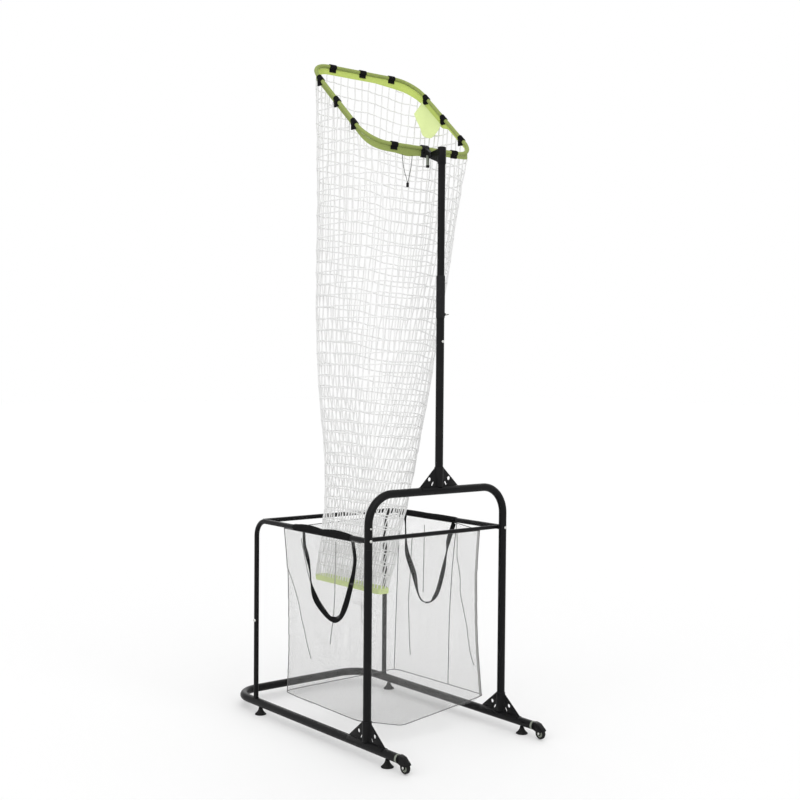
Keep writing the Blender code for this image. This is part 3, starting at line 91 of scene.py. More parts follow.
class Body(str, Enum):
    """The moving bodies that a piece can ride on."""

    CART = "cart"
    MAST = "mast"
    HOOP = "hoop"
    HEIGHT_CLAMP = "height_clamp"
    CLAMP_KNOB = "clamp_knob"
    BUTTON_LEFT = "button_left"
    BUTTON_RIGHT = "button_right"
    WHEEL_LEFT = "wheel_left"
    WHEEL_RIGHT = "wheel_right"
    FOOT_FRONT_LEFT = "foot_front_left"
    FOOT_FRONT_RIGHT = "foot_front_right"
    FOOT_REAR_LEFT = "foot_rear_left"
    FOOT_REAR_RIGHT = "foot_rear_right"


class Slot(str, Enum):
    """The material slots of the solids."""

    COAT = "black_powder_coat"
    PLASTIC = "black_plastic"
    RUBBER = "black_rubber"
    STEEL = "bright_steel"
    WEBBING = "black_webbing"
    POLE = "olive_pole"
    LIME = "lime_cloth"
    NET = "white_net"
    MESH = "grey_mesh"


class Term:
    """One value in a shader expression: a socket with the arithmetic that the finishes use."""

    def __init__(self, tree: NodeTree, socket: NodeSocket) -> None:
        """Keep the output socket that gives the value, and its tree."""
        self.tree = tree
        self.socket = socket

    def join(self, operation: str, first: "Term | float", second: "Term | float" = 0.0) -> "Term":
        """Add one Math node.

        Args:
            operation: the Math node's operation.
            first: its first value.
            second: its second value.

        Returns:
            The result as a term.
        """
        node = add_node(self.tree, "ShaderNodeMath", {0: first, 1: second}, operation=operation)
        return Term(self.tree, node.outputs[0])

    def __add__(self, other: "Term | float") -> "Term":
        """Add."""
        return self.join("ADD", self, other)

    __radd__ = __add__

    def __sub__(self, other: "Term | float") -> "Term":
        """Take away."""
        return self.join("SUBTRACT", self, other)

    def __rsub__(self, other: float) -> "Term":
        """Take from a number."""
        return self.join("SUBTRACT", other, self)

    def __mul__(self, other: "Term | float") -> "Term":
        """Multiply."""
        return self.join("MULTIPLY", self, other)

    __rmul__ = __mul__

    def __truediv__(self, other: "Term | float") -> "Term":
        """Divide."""
        return self.join("DIVIDE", self, other)

    def call(self, operation: str, other: "Term | float" = 0.0) -> "Term":
        """Return one of the Math node's named functions of this value."""
        return self.join(operation, self, other)

    def span(self, low: float, high: float) -> "Term":
        """Stretch the values between low and high to 0 and 1, held at both ends.

        Args:
            low: the value that becomes 0.
            high: the value that becomes 1.

        Returns:
            The stretched term.
        """
        scaled = (self - low) * (1.0 / (high - low))
        return scaled.call("MAXIMUM", 0.0).call("MINIMUM", 1.0)


def feed(tree: NodeTree, socket: NodeSocket, value: Term | NodeSocket | object) -> None:
    """Link a term or another socket to a socket, or else set its value."""
    source = value.socket if isinstance(value, Term) else value
    if isinstance(source, NodeSocket):
        tree.links.new(source, socket)
    else:
        socket.default_value = source


def add_node(tree: NodeTree, kind: str, inputs: dict | None = None, **settings: object) -> Node:
    """Add one node to a tree.

    Args:
        tree: the tree.
        kind: the node's type.
        inputs: values, terms or sockets for its inputs, by name or number.
        **settings: properties set before its inputs.

    Returns:
        The node.
    """
    node = tree.nodes.new(kind)
    for key, value in settings.items():
        setattr(node, key, value)
    for key, value in (inputs or {}).items():
        feed(tree, node.inputs[key], value)
    return node


class Graph:
    """The node tree of one material, with short ways to add what the finishes need."""

    def __init__(self, name: str) -> None:
        """Make an empty Principled material."""
        self.material = bpy.data.materials.new(name)
        self.material.use_nodes = True
        self.tree = self.material.node_tree
        self.shader = self.tree.nodes["Principled BSDF"]

    def add(self, kind: str, inputs: dict | None = None, output: int | str = 0, **settings: object) -> Term:
        """Add one node as add_node does, and return one of its outputs as a term."""
        return Term(self.tree, add_node(self.tree, kind, inputs, **settings).outputs[output])

    def place(self) -> Term:
        """Return the piece's own coordinates, in metres."""
        return self.add("ShaderNodeTexCoord", output="Object")

    def split(self, vector: Term) -> list[Term]:
        """Return the three parts of a vector."""
        node = add_node(self.tree, "ShaderNodeSeparateXYZ", {0: vector})
        return [Term(self.tree, socket) for socket in node.outputs]

    def cloth_place(self) -> list[Term]:
        """Return a cloth's two coordinates along its threads, in metres."""
        return self.split(self.add("ShaderNodeTexCoord", output="UV"))[:2]

    def cloud(self, scale: float, detail: float = 2.0, rough: float = 0.5) -> Term:
        """Return smooth noise from 0 to 1 over the piece.

        Args:
            scale: cells for each metre.
            detail: octaves.
            rough: how strong the fine octaves are.

        Returns:
            The noise as a term.
        """
        inputs = {"Vector": self.place(), "Scale": scale, "Detail": detail, "Roughness": rough}
        return self.add("ShaderNodeTexNoise", inputs)

    def blend(self, share: Term | float, first: Colour, second: Colour) -> Term:
        """Mix two colours.

        Args:
            share: the second colour's share.
            first: the first colour.
            second: the second colour.

        Returns:
            The mixed colour.
        """
        inputs = {0: share, 6: (*first, 1.0), 7: (*second, 1.0)}
        return self.add("ShaderNodeMix", inputs, 2, data_type="RGBA")

    def relief(self, height: Term, depth: float, below: Term | None = None) -> Term:
        """Return a bumped normal.

        Args:
            height: the height, about 0 to 1.
            depth: what a height of 1 stands for, in metres.
            below: an earlier bumped normal to add to.

        Returns:
            The normal as a term.
        """
        inputs = {"Height": height, "Distance": depth, "Strength": 1.0}
        if below is not None:
            inputs["Normal"] = below
        return self.add("ShaderNodeBump", inputs)

    def weave(self, along: Term, across: Term, pitch: float, rib: float) -> Term:
        """Return the height of a plain weave.

        Args:
            along: the coordinate along the warp.
            across: the coordinate along the weft.
            pitch: the distance between weft threads.
            rib: the distance between warp threads.

        Returns:
            A height from 0 to 1.
        """
        u = along / pitch
        v = across / rib
        parity = (u.call("FLOOR") + v.call("FLOOR")).call("FLOORED_MODULO", 2.0)
        hump_u = (u.call("FRACT") * math.pi).call("SINE")
        hump_v = (v.call("FRACT") * math.pi).call("SINE")
        least = 0.55
        warp = hump_v * (least + (1.0 - least) * hump_u)
        weft = hump_u * (least + (1.0 - least) * hump_v)
        return parity * warp + (1.0 - parity) * weft

    def surface(self, **sockets: Term | float | tuple) -> Material:
        """Set the shader's sockets, named with _ for each space, and return the material."""
        for key, value in sockets.items():
            full = (*value, 1.0) if isinstance(value, tuple) else value
            feed(self.tree, self.shader.inputs[key.replace("_", " ")], full)
        return self.material


@dataclass(frozen=True)
class PowderCoat:
    """Satin black powder coat: a fine orange peel, uneven sheen and a little dust.

    The scales of its patterns are in cells for each metre, as in every finish.
    """

    name: str = "black_powder_coat"
    colour: Colour = (0.0045, 0.0045, 0.005)
    dusty: Colour = (0.014, 0.0135, 0.013)
    sheen: tuple[float, float] = (0.33, 0.47)
    peel: float = 0.00009
    dust_scale: float = 7.0
    speck_scale: float = 620.0
    sheen_scale: float = 26.0
    peel_scale: float = 900.0
    ripple_scale: float = 120.0

    def material(self) -> Material:
        """Build the material."""
        g = Graph(self.name)
        dust = g.cloud(self.dust_scale, 5.0, 0.62).span(0.52, 0.78)
        speck = g.cloud(self.speck_scale, 3.0)
        colour = g.blend(dust * (0.25 + 0.5 * speck), self.colour, self.dusty)
        low, high = self.sheen
        rough = low + (high - low) * g.cloud(self.sheen_scale, 3.0) + 0.07 * dust
        normal = g.relief(g.cloud(self.peel_scale), self.peel)
        normal = g.relief(g.cloud(self.ripple_scale), self.peel * 1.5, normal)
        return g.surface(Base_Color=colour, Roughness=rough, Normal=normal, Specular_IOR_Level=0.12)


@dataclass(frozen=True)
class Moulded:
    """Moulded plastic or rubber: a spark-eroded grain and a soft, uneven gloss."""

    name: str
    colour: Colour
    worn: Colour
    roughness: float
    grain_scale: float = 1700.0
    grain_depth: float = 0.00006
    scuff_scale: float = 95.0
    sheen_scale: float = 40.0

    def material(self) -> Material:
        """Build the material."""
        g = Graph(self.name)
        scuff = g.cloud(self.scuff_scale, 6.0, 0.7).span(0.50, 0.80)
        grain = g.cloud(self.grain_scale)
        colour = g.blend(scuff * 0.6, self.colour, self.worn)
        rough = self.roughness + 0.10 * (g.cloud(self.sheen_scale) - 0.5) + 0.08 * grain
        normal = g.relief(grain, self.grain_depth)
        return g.surface(Base_Color=colour, Roughness=rough, Normal=normal, Specular_IOR_Level=0.15)


@dataclass(frozen=True)
class Plated:
    """Zinc-plated steel: cloudy tarnish, a fine grain and pits."""

    name: str = "bright_steel"
    bright: Colour = (0.66, 0.66, 0.64)
    dull: Colour = (0.40, 0.41, 0.38)
    cloud_scale: float = 210.0
    pit_scale: float = 1500.0
    grain_scale: float = 2600.0
    grain_depth: float = 0.00003

    def material(self) -> Material:
        """Build the material."""
        g = Graph(self.name)
        cloudy = g.cloud(self.cloud_scale, 5.0, 0.6)
        pits = g.cloud(self.pit_scale).span(0.62, 0.75)
        colour = g.blend(cloudy.span(0.35, 0.75), self.bright, self.dull)
        rough = 0.24 + 0.22 * cloudy + 0.15 * pits
        normal = g.relief(g.cloud(self.grain_scale) - 0.4 * pits, self.grain_depth)
        return g.surface(Base_Color=colour, Roughness=rough, Metallic=1.0, Normal=normal)


@dataclass(frozen=True)
class Woven:
    """Woven cloth or webbing, with its own thread spacing, fibre shade and folds, and painted shade in the
    gaps between its threads.
    """

    name: str
    thread: Colour
    # the colour of the weave's low parts: painted shade between the threads
    gap: Colour
    pitch: float
    rib: float
    depth: float
    roughness: float = 0.85
    wrinkle: float = 0.0
    gloss: float = 0.25
    fibre_scale: float = 2400.0
    tone_scale: float = 22.0
    wrinkle_scale: float = 38.0

    def material(self) -> Material:
        """Build the material."""
        g = Graph(self.name)
        along, across = g.cloth_place()
        height = g.weave(along, across, self.pitch, self.rib)
        fibre = g.cloud(self.fibre_scale)
        tone = g.cloud(self.tone_scale, 3.0)
        # The weave's low parts take the gap colour: painted shade between the threads.
        colour = g.blend(height.span(0.05, 0.75) * (0.80 + 0.20 * tone), self.gap, self.thread)
        normal = g.relief(height + 0.35 * fibre, self.depth)
        if self.wrinkle:
            normal = g.relief(g.cloud(self.wrinkle_scale, 3.0), self.wrinkle, normal)
        rough = self.roughness + 0.08 * (fibre - 0.5)
        return g.surface(Base_Color=colour, Roughness=rough, Normal=normal, Specular_IOR_Level=self.gloss)


@dataclass(frozen=True)
class TwistedCord:
    """Twisted twine: slanting strands, fluff and a little grime, with painted shade in the grooves between
    the strands.
    """

    name: str
    colour: Colour
    # the colour of the grooves between strands, painted shade, which grime also darkens towards
    shade: Colour
    strand: float = 0.0021
    depth: float = 0.00016
    grime_scale: float = 9.0
    fluff_scale: float = 3000.0

    def material(self) -> Material:
        """Build the material."""
        g = Graph(self.name)
        x, y, z = g.split(g.place())
        lay = ((x + y + z) * (2 * math.pi / self.strand)).call("SINE") * 0.5 + 0.5
        grime = g.cloud(self.grime_scale, 4.0).span(0.45, 0.85)
        # Painted shade in the grooves between strands, plus real grime, both towards the shade colour.
        colour = g.blend((1.0 - lay) * 0.55 + 0.30 * grime, self.colour, self.shade)
        normal = g.relief(lay + 0.3 * g.cloud(self.fluff_scale), self.depth)
        return g.surface(Base_Color=colour, Roughness=0.9, Normal=normal, Specular_IOR_Level=0.2)


@dataclass(frozen=True)
class SheerMesh:
    """Fine open mesh cloth: thin slanting threads with clear holes between them."""

    name: str
    thread: Colour
    shade: Colour
    pitch: float = 0.0026
    cover: float = 0.045
    depth: float = 0.00005
    tone_scale: float = 30.0
    fibre_scale: float = 1800.0

    def material(self) -> Material:
        """Build the material."""
        g = Graph(self.name)
        along, across = g.cloth_place()
        first, second = ((run / self.pitch).call("FRACT").call("LESS_THAN", self.cover)
                         for run in (along + across, along - across))
        colour = g.blend(g.cloud(self.tone_scale, 3.0), self.thread, self.shade)
        normal = g.relief(g.cloud(self.fibre_scale), self.depth)
        return g.surface(Base_Color=colour, Roughness=0.8, Alpha=first.call("MAXIMUM", second), Normal=normal,
                         Specular_IOR_Level=0.25)


class Palette:
    """Every finish of the object, made once and shared."""

    def __init__(self) -> None:
        """Build the materials."""
        self.coat = PowderCoat().material()
        self.plastic = Moulded("black_plastic", (0.008, 0.008, 0.009), (0.03, 0.03, 0.03), 0.48).material()
        self.rubber = Moulded("black_rubber", (0.010, 0.010, 0.010), (0.04, 0.038, 0.036), 0.72,
                              grain_scale=1100.0).material()
        self.steel = Plated().material()
        self.knob = Moulded("grey_knob", (0.22, 0.24, 0.20), (0.40, 0.42, 0.36), 0.45,
                            grain_scale=1500.0).material()
        # Each woven finish's second colour is painted shade in the gaps between its threads.
        self.webbing = Woven("black_webbing", (0.0085, 0.0085, 0.009), (0.002, 0.002, 0.002),
                             pitch=0.0015, rib=0.0021, depth=0.00035, roughness=0.80, gloss=0.08).material()
        self.pole = Woven("olive_pole", (0.35, 0.42, 0.13), (0.20, 0.25, 0.06),
                          pitch=0.0008, rib=0.0008, depth=0.00012, roughness=0.78, wrinkle=0.0012).material()
        self.lime = Woven("lime_cloth", (0.62, 0.74, 0.20), (0.45, 0.56, 0.12),
                          pitch=0.0007, rib=0.0007, depth=0.00010, roughness=0.82, wrinkle=0.0010).material()
        self.pale_lime = Woven("pale_lime_cloth", (0.76, 0.86, 0.42), (0.62, 0.74, 0.30),
                               pitch=0.0006, rib=0.0006, depth=0.00008, roughness=0.80,
                               wrinkle=0.0012).material()
        self.thread = Woven("stitch_thread", (0.66, 0.78, 0.30), (0.50, 0.62, 0.20),
                            pitch=0.0008, rib=0.0008, depth=0.0001).material()
        # Each twisted cord's second colour, here and below, is painted shade in the grooves between strands,
        # also reached by grime.
        self.twine = TwistedCord("white_net", (0.93, 0.93, 0.925), (0.82, 0.82, 0.815)).material()
        # grey for the bag's fold lines, which are painted crease shade, and for its corner tape
        self.fold_shade_and_tape = Woven("grey_fold_shade_and_tape", (0.48, 0.48, 0.47), (0.34, 0.34, 0.335),
                           pitch=0.0012, rib=0.0012, depth=0.0002).material()
        self.mesh = SheerMesh("grey_mesh", (0.34, 0.34, 0.335), (0.27, 0.27, 0.265)).material()
        self.binding = Woven("grey_binding", (0.28, 0.28, 0.275), (0.14, 0.14, 0.14),
                             pitch=0.0012, rib=0.0012, depth=0.0002).material()
        self.dark_cord = TwistedCord("dark_cord", (0.060, 0.060, 0.062), (0.020, 0.020, 0.020),
                                     strand=0.0012).material()


class Recipe:
    """One Geometry Nodes tree with named sizes, which turns a drawn path into a finished mesh."""

    def __init__(self, name: str) -> None:
        """Start an empty tree."""
        self.tree = bpy.data.node_groups.new(name, "GeometryNodeTree")
        face = self.tree.interface
        face.new_socket("Geometry", in_out="INPUT", socket_type="NodeSocketGeometry")
        face.new_socket("Geometry", in_out="OUTPUT", socket_type="NodeSocketGeometry")
        self.start = self.tree.nodes.new("NodeGroupInput")
        self.end = self.tree.nodes.new("NodeGroupOutput")
        self.drawing = self.start.outputs["Geometry"]
        self.identifiers: dict[str, str] = {}

    def size(self, name: str, value: float, kind: str = "NodeSocketFloat") -> NodeSocket:
        """Add one named input.

        Args:
            name: the input's name.
            value: its usual value.
            kind: its socket type.

        Returns:
            The socket to link from.
        """
        socket = self.tree.interface.new_socket(name, in_out="INPUT", socket_type=kind)
        socket.default_value = value
        self.identifiers[name] = socket.identifier
        return self.start.outputs[name]

    def add(self, kind: str, inputs: dict | None = None, **settings: object) -> NodeSocket:
        """Add one node as add_node does, and return its first output."""
        return add_node(self.tree, kind, inputs, **settings).outputs[0]

    def curves(self) -> NodeSocket:
        """Return the drawing's edges as curves."""
        return self.add("GeometryNodeMeshToCurve", {"Mesh": self.drawing})

    def swept(self, radius: NodeSocket, sides: NodeSocket | int, caps: bool = False) -> NodeSocket:
        """Return round tubes along the drawing's edges.

        Args:
            radius: their radius.
            sides: facets round them.
            caps: whether their ends are filled.

        Returns:
            The tubes.
        """
        ring = self.add("GeometryNodeCurvePrimitiveCircle", {"Radius": radius, "Resolution": sides})
        return self.add("GeometryNodeCurveToMesh",
                        {"Curve": self.curves(), "Profile Curve": ring, "Fill Caps": caps})

    def close(self, geometry: NodeSocket) -> "Recipe":
        """End the tree: realize, smooth, and give the material that the Finish input names."""
        real = self.add("GeometryNodeRealizeInstances", {"Geometry": geometry})
        smoothed = self.add("GeometryNodeSetShadeSmooth", {"Geometry": real})
        finish = self.tree.interface.new_socket("Finish", in_out="INPUT", socket_type="NodeSocketMaterial")
        self.identifiers["Finish"] = finish.identifier
        dressed = self.add("GeometryNodeSetMaterial",
                           {"Geometry": smoothed, "Material": self.start.outputs["Finish"]})
        self.tree.links.new(dressed, self.end.inputs[0])
        return self

    def grow(self, name: str, points: Points, edges: Edges, finish: Material,
             flags: dict[str, list[bool]] | None = None, **sizes: float) -> Object:
        """Run the tree on a drawing of points and edges.

        Args:
            name: the new piece's name.
            points: places in metres.
            edges: pairs of point numbers.
            finish: the material.
            flags: marks on the points, by the name that the tree reads.
            **sizes: the tree's inputs, named with _ for each space.

        Returns:
            The finished piece, as a plain mesh.
        """
        drawing = bpy.data.meshes.new(f"{name}_drawing")
        drawing.from_pydata([tuple(p) for p in points], edges, [])
        for flag, marks in (flags or {}).items():
            drawing.attributes.new(flag, "BOOLEAN", "POINT").data.foreach_set("value", marks)
        obj = placed(name, drawing)
        modifier = obj.modifiers.new("grow", "NODES")
        modifier.node_group = self.tree
        modifier[self.identifiers["Finish"]] = finish
        for key, value in sizes.items():
            modifier[self.identifiers[key.replace("_", " ")]] = value
        settle(obj)
        bpy.data.meshes.remove(drawing)
        return obj


def placed(name: str, data: bpy.types.ID) -> Object:
    """Put a new object with its mesh, curve, camera or light in the scene, and return it."""
    obj = bpy.data.objects.new(name, data)
    bpy.context.scene.collection.objects.link(obj)
    return obj


def settle(obj: Object) -> Object:
    """Turn a piece and its modifiers into one plain mesh.

    Args:
        obj: the piece.

    Returns:
        The same piece, without modifiers.
    """
    bpy.context.view_layer.update()
    graph = bpy.context.evaluated_depsgraph_get()
    mesh = bpy.data.meshes.new_from_object(obj.evaluated_get(graph), preserve_all_data_layers=True,
                                           depsgraph=graph)
    obj.modifiers.clear()
    obj.data = mesh
    mesh.name = obj.name
    return obj


def smooth(obj: Object, degrees: float = 32.0) -> Object:
    """Shade a piece smooth, but for its sharp edges."""
    obj.data.shade_smooth()
    obj.data.set_sharp_from_angle(angle=math.radians(degrees))
    return obj


def thicken(obj: Object, thickness: float, offset: float = -1.0) -> Object:
    """Give an open surface a wall.

    Args:
        obj: the surface.
        thickness: the wall's thickness.
        offset: -1 for a wall inside the surface, 0 for one on both sides.

    Returns:
        The same piece, closed.
    """
    modifier = obj.modifiers.new("wall", "SOLIDIFY")
    modifier.thickness = thickness
    modifier.offset = offset
    modifier.use_even_offset = True
    return settle(obj)


def held(value: float) -> float:
    """Return a value held between 0 and 1."""
    return max(0.0, min(1.0, value))


def spread(width: float, count: int) -> list[float]:
    """Return evenly spaced values from 0 to a width, both ends included."""
    return [width * k / count for k in range(count + 1)]


def chain(points: Points, closed: bool = False) -> Edges:
    """Return the edges that join points in a row."""
    edges = [(i, i + 1) for i in range(len(points) - 1)]
    return edges + [(len(points) - 1, 0)] if closed else edges


def tangents(path: Points) -> Points:
    """Return a path's direction at each of its points."""
    last = len(path) - 1
    return [(path[min(i + 1, last)] - path[max(i - 1, 0)]).normalized() for i in range(len(path))]


def runs(path: Points) -> list[float]:
    """Return a path's length up to each of its points."""
    found = [0.0]
    for before, after in zip(path, path[1:]):
        found.append(found[-1] + (after - before).length)
    return found


def bent_path(corners: Points, radius: float, steps: int = 16) -> Points:
    """Return points along a path whose corners are bent to a radius.

    Args:
        corners: the path's corners.
        radius: the bend radius of its middle line.
        steps: straight pieces in each bend.

    Returns:
        The points.
    """
    points = [corners[0]]
    for before, corner, after in zip(corners, corners[1:], corners[2:]):
        arriving = (corner - before).normalized()
        leaving = (after - corner).normalized()
        turn = arriving.angle(leaving)
        start = corner - arriving * (radius * math.tan(turn / 2))
        inward = (leaving - arriving * leaving.dot(arriving)).normalized()
        for step in range(steps + 1):
            angle = turn * step / steps
            ahead = arriving * (radius * math.sin(angle))
            points.append(start + ahead + inward * (radius * (1 - math.cos(angle))))
    points.append(corners[-1])
    return points


def smooth_route(route: Points, steps: int) -> Points:
    """Return points along a Catmull-Rom curve through a route's own points.

    Args:
        route: the points to pass through.
        steps: new points for each of them.

    Returns:
        The points.
    """
    padded = [2 * route[0] - route[1]] + list(route) + [2 * route[-1] - route[-2]]
    found = []
    for a, b, c, d in zip(padded, padded[1:], padded[2:], padded[3:]):
        for step in range(steps):
            t = step / steps
            found.append(0.5 * (2 * b + (c - a) * t + (2 * a - 5 * b + 4 * c - d) * t ** 2
                                + (3 * b - a - 3 * c + d) * t ** 3))
    found.append(route[-1])
    return found


def rounded_loop(half_long: float, half_wide: float, corner: float, count: int,
                 steps: int = 24) -> list[tuple[float, float]]:
    """Return evenly spaced places round a rectangle with round corners.

    Args:
        half_long: half its length.
        half_wide: half its width.
        corner: its corner radius.
        count: how many places.
        steps: straight pieces in each corner while it is measured.

    Returns:
        Pairs (long, wide), from the middle of the far end round by the positive side.
    """
    corner = min(corner, half_long, half_wide)
    dense = [(half_long, 0.0)]
    for quarter in range(4):
        sign_long = (1, -1, -1, 1)[quarter]
        sign_wide = (1, 1, -1, -1)[quarter]
        for step in range(steps + 1):
            angle = math.pi / 2 * (quarter + step / steps)
            dense.append((sign_long * (half_long - corner) + corner * math.cos(angle),
                          sign_wide * (half_wide - corner) + corner * math.sin(angle)))
    dense.append((half_long, 0.0))
    points = np.array(dense)
    run = np.concatenate([[0.0], np.cumsum(np.linalg.norm(np.diff(points, axis=0), axis=1))])
    wanted = np.linspace(0.0, run[-1], count, endpoint=False)
    return [(float(np.interp(mark, run, points[:, 0])), float(np.interp(mark, run, points[:, 1])))
            for mark in wanted]


class Cloth:
    """A cloth surface built row by row, with each point's place in the flat cloth."""

    def __init__(self, wrap: bool = False) -> None:
        """Start an empty cloth, whose rows may each join their own start."""
        self.wrap = wrap
        self.grid: list[Points] = []
        self.flat: list[list[tuple[float, float]]] = []

    def add(self, row: Points, flat: list[tuple[float, float]]) -> None:
        """Add one row.

        Args:
            row: its points.
            flat: their places in the flat cloth, with one more where rows wrap.
        """
        self.grid.append(row)
        self.flat.append(flat)

    def piece(self, name: str, finish: Material, pole: tuple | None = None) -> Object:
        """Build the surface.

        Args:
            name: the piece's name.
            finish: the material.
            pole: a last point that closes the last row, with its place in the flat cloth.

        Returns:
            The surface, without a thickness.
        """
        bm = bmesh.new()
        layer = bm.loops.layers.uv.new("cloth")
        rows = [[bm.verts.new(point) for point in row] for row in self.grid]
        count = len(rows[0])
        last = count if self.wrap else count - 1
        for r in range(len(rows) - 1):
            for i in range(last):
                j = (i + 1) % count
                face = bm.faces.new((rows[r][i], rows[r][j], rows[r + 1][j], rows[r + 1][i]))
                for loop, (a, b) in zip(face.loops, ((r, i), (r, i + 1), (r + 1, i + 1), (r + 1, i))):
                    loop[layer].uv = self.flat[a][b]
        if pole:
            centre = bm.verts.new(pole[0])
            for i in range(last):
                face = bm.faces.new((rows[-1][i], rows[-1][(i + 1) % count], centre))
                for loop, place in zip(face.loops, (self.flat[-1][i], self.flat[-1][i + 1], pole[1])):
                    loop[layer].uv = place
        bmesh.ops.recalc_face_normals(bm, faces=bm.faces)
        return object_from(bm, name, finish)


def object_from(bm: bmesh.types.BMesh, name: str, finish: Material) -> Object:
    """Turn a bmesh into a piece.

    Args:
        bm: the bmesh, which is freed.
        name: the piece's name.
        finish: its material.

    Returns:
        The piece.
    """
    mesh = bpy.data.meshes.new(name)
    bm.to_mesh(mesh)
    bm.free()
    mesh.materials.append(finish)
    return smooth(placed(name, mesh))


def ribbon(name: str, path: Points, faces: Points, width: float, thick: float,
           finish: Material) -> Object:
    """Build a flat strap with soft edges along a path.

    Args:
        name: the piece's name.
        path: the middle of the strap.
        faces: the direction that its flat side faces at each point.
        width: its width.
        thick: its thickness.
        finish: its material.

    Returns:
        The strap, closed at both ends.
    """
    half, edge = width / 2, thick / 2
    section = [(-half, 0.0), (-half + 0.4 * edge, -0.7 * edge), (-half + 1.2 * edge, -edge),
               (-half * 0.45, -edge), (0.0, -edge), (half * 0.45, -edge), (half - 1.2 * edge, -edge),
               (half - 0.4 * edge, -0.7 * edge)]
    section += [(-a, -b) for a, b in section]
    bm = bmesh.new()
    layer = bm.loops.layers.uv.new("cloth")
    rings = []
    for point, tangent, facing in zip(path, tangents(path), faces):
        wide = tangent.cross(facing).normalized()
        up = wide.cross(tangent).normalized()
        rings.append([bm.verts.new(point + wide * a + up * b) for a, b in section])
    marks = runs(path)
    count = len(section)
    for r in range(len(rings) - 1):
        for i in range(count):
            j = (i + 1) % count
            face = bm.faces.new((rings[r][i], rings[r][j], rings[r + 1][j], rings[r + 1][i]))
            for loop, (a, b) in zip(face.loops, ((r, i), (r, j), (r + 1, j), (r + 1, i))):
                loop[layer].uv = (marks[a], section[b][0] + half)
    for ring in (rings[0], rings[-1]):
        face = bm.faces.new(ring)
        for loop, (a, b) in zip(face.loops, section):
            loop[layer].uv = (b, a)
    bmesh.ops.recalc_face_normals(bm, faces=bm.faces)
    return object_from(bm, name, finish)


def lathe(name: str, centre: Vector, axis: Vector, outline: list[tuple[float, float]],
          finish: Material, sides: int = 48, closed: bool = False) -> Object:
    """Turn an outline round an axis.

    Args:
        name: the piece's name.
        centre: a point on the axis.
        axis: its direction.
        outline: (distance along the axis, radius) pairs.
        finish: the material.
        sides: facets round the axis.
        closed: whether the outline is a ring with a bore, else its ends are filled.

    Returns:
        The piece.
    """
    first = AHEAD.copy() if abs(axis.x) < 0.5 else LEFT.copy()
    second = axis.cross(first)
    bm = bmesh.new()
    rings = []
    for along, radius in outline:
        ring = []
        for i in range(sides):
            angle = 2 * math.pi * i / sides
            spoke = first * math.cos(angle) + second * math.sin(angle)
            ring.append(bm.verts.new(centre + axis * along + spoke * radius))
        rings.append(ring)
    pairs = list(zip(rings, rings[1:])) + ([(rings[-1], rings[0])] if closed else [])
    for ring, following in pairs:
        for i in range(sides):
            j = (i + 1) % sides
            bm.faces.new((ring[i], ring[j], following[j], following[i]))
    if not closed:
        bm.faces.new(rings[0])
        bm.faces.new(rings[-1])
    bmesh.ops.recalc_face_normals(bm, faces=bm.faces)
    return object_from(bm, name, finish)


def join(name: str, pieces: list) -> Object:
    """Join pieces into one, with all their materials.

    Args:
        name: the new piece's name.
        pieces: the pieces, which are removed.

    Returns:
        The joined piece.
    """
    bm = bmesh.new()
    finishes: list[Material] = []
    for piece in pieces:
        before = len(bm.faces)
        bm.from_mesh(piece.data)
        bm.faces.ensure_lookup_table()
        for face in bm.faces[before:]:
            finish = piece.data.materials[face.material_index]
            if finish not in finishes:
                finishes.append(finish)
            face.material_index = finishes.index(finish)
        bpy.data.objects.remove(piece, do_unlink=True)
    mesh = bpy.data.meshes.new(name)
    bm.to_mesh(mesh)
    bm.free()
    for finish in finishes:
        mesh.materials.append(finish)
    return placed(name, mesh)


def merge(obj: Object, distance: float = 0.000005) -> Object:
    """Merge a piece's doubled points, and return it."""
    bm = bmesh.new()
    bm.from_mesh(obj.data)
    bmesh.ops.remove_doubles(bm, verts=bm.verts, dist=distance)
    bmesh.ops.recalc_face_normals(bm, faces=bm.faces)
    bm.to_mesh(obj.data)
    bm.free()
    return smooth(obj, 50)


def fitted(obj: Object, body: Body, slot: Slot, *nodes: str) -> Object:
    """Fix a piece to its body and report it.

    Args:
        obj: the piece.
        body: the body that it rides on.
        slot: the material slot of the solids that it stands for; not used.
        *nodes: the solids that it stands for.

    Returns:
        The piece.
    """
    if nodes:
        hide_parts(*nodes)
    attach(obj, body.value)
    LOG.info("%s on %s for %s", obj.name, body.value, ", ".join(nodes) or "detail")
    return obj


def refined(node: str, finish: Material, bevel: float = 0.0004) -> Object:
    """Return a clean copy of a solid, with its facets joined and its edges eased.

    Args:
        node: the solid's name.
        finish: its material.
        bevel: how wide its edges are eased.

    Returns:
        The copy, which still has to be fitted.
    """
    bm = bmesh.new()
    bm.from_mesh(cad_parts[node].data)
    bmesh.ops.remove_doubles(bm, verts=bm.verts, dist=0.00002)
    bmesh.ops.dissolve_limit(bm, angle_limit=math.radians(1.0), verts=bm.verts, edges=bm.edges)
    obj = object_from(bm, f"{node}_dressed", finish)
    modifier = obj.modifiers.new("eased", "BEVEL")
    modifier.width = bevel
    modifier.segments = 2
    modifier.limit_method = "ANGLE"
    modifier.angle_limit = math.radians(34)
    settle(obj)
    return smooth(obj, 40.0)

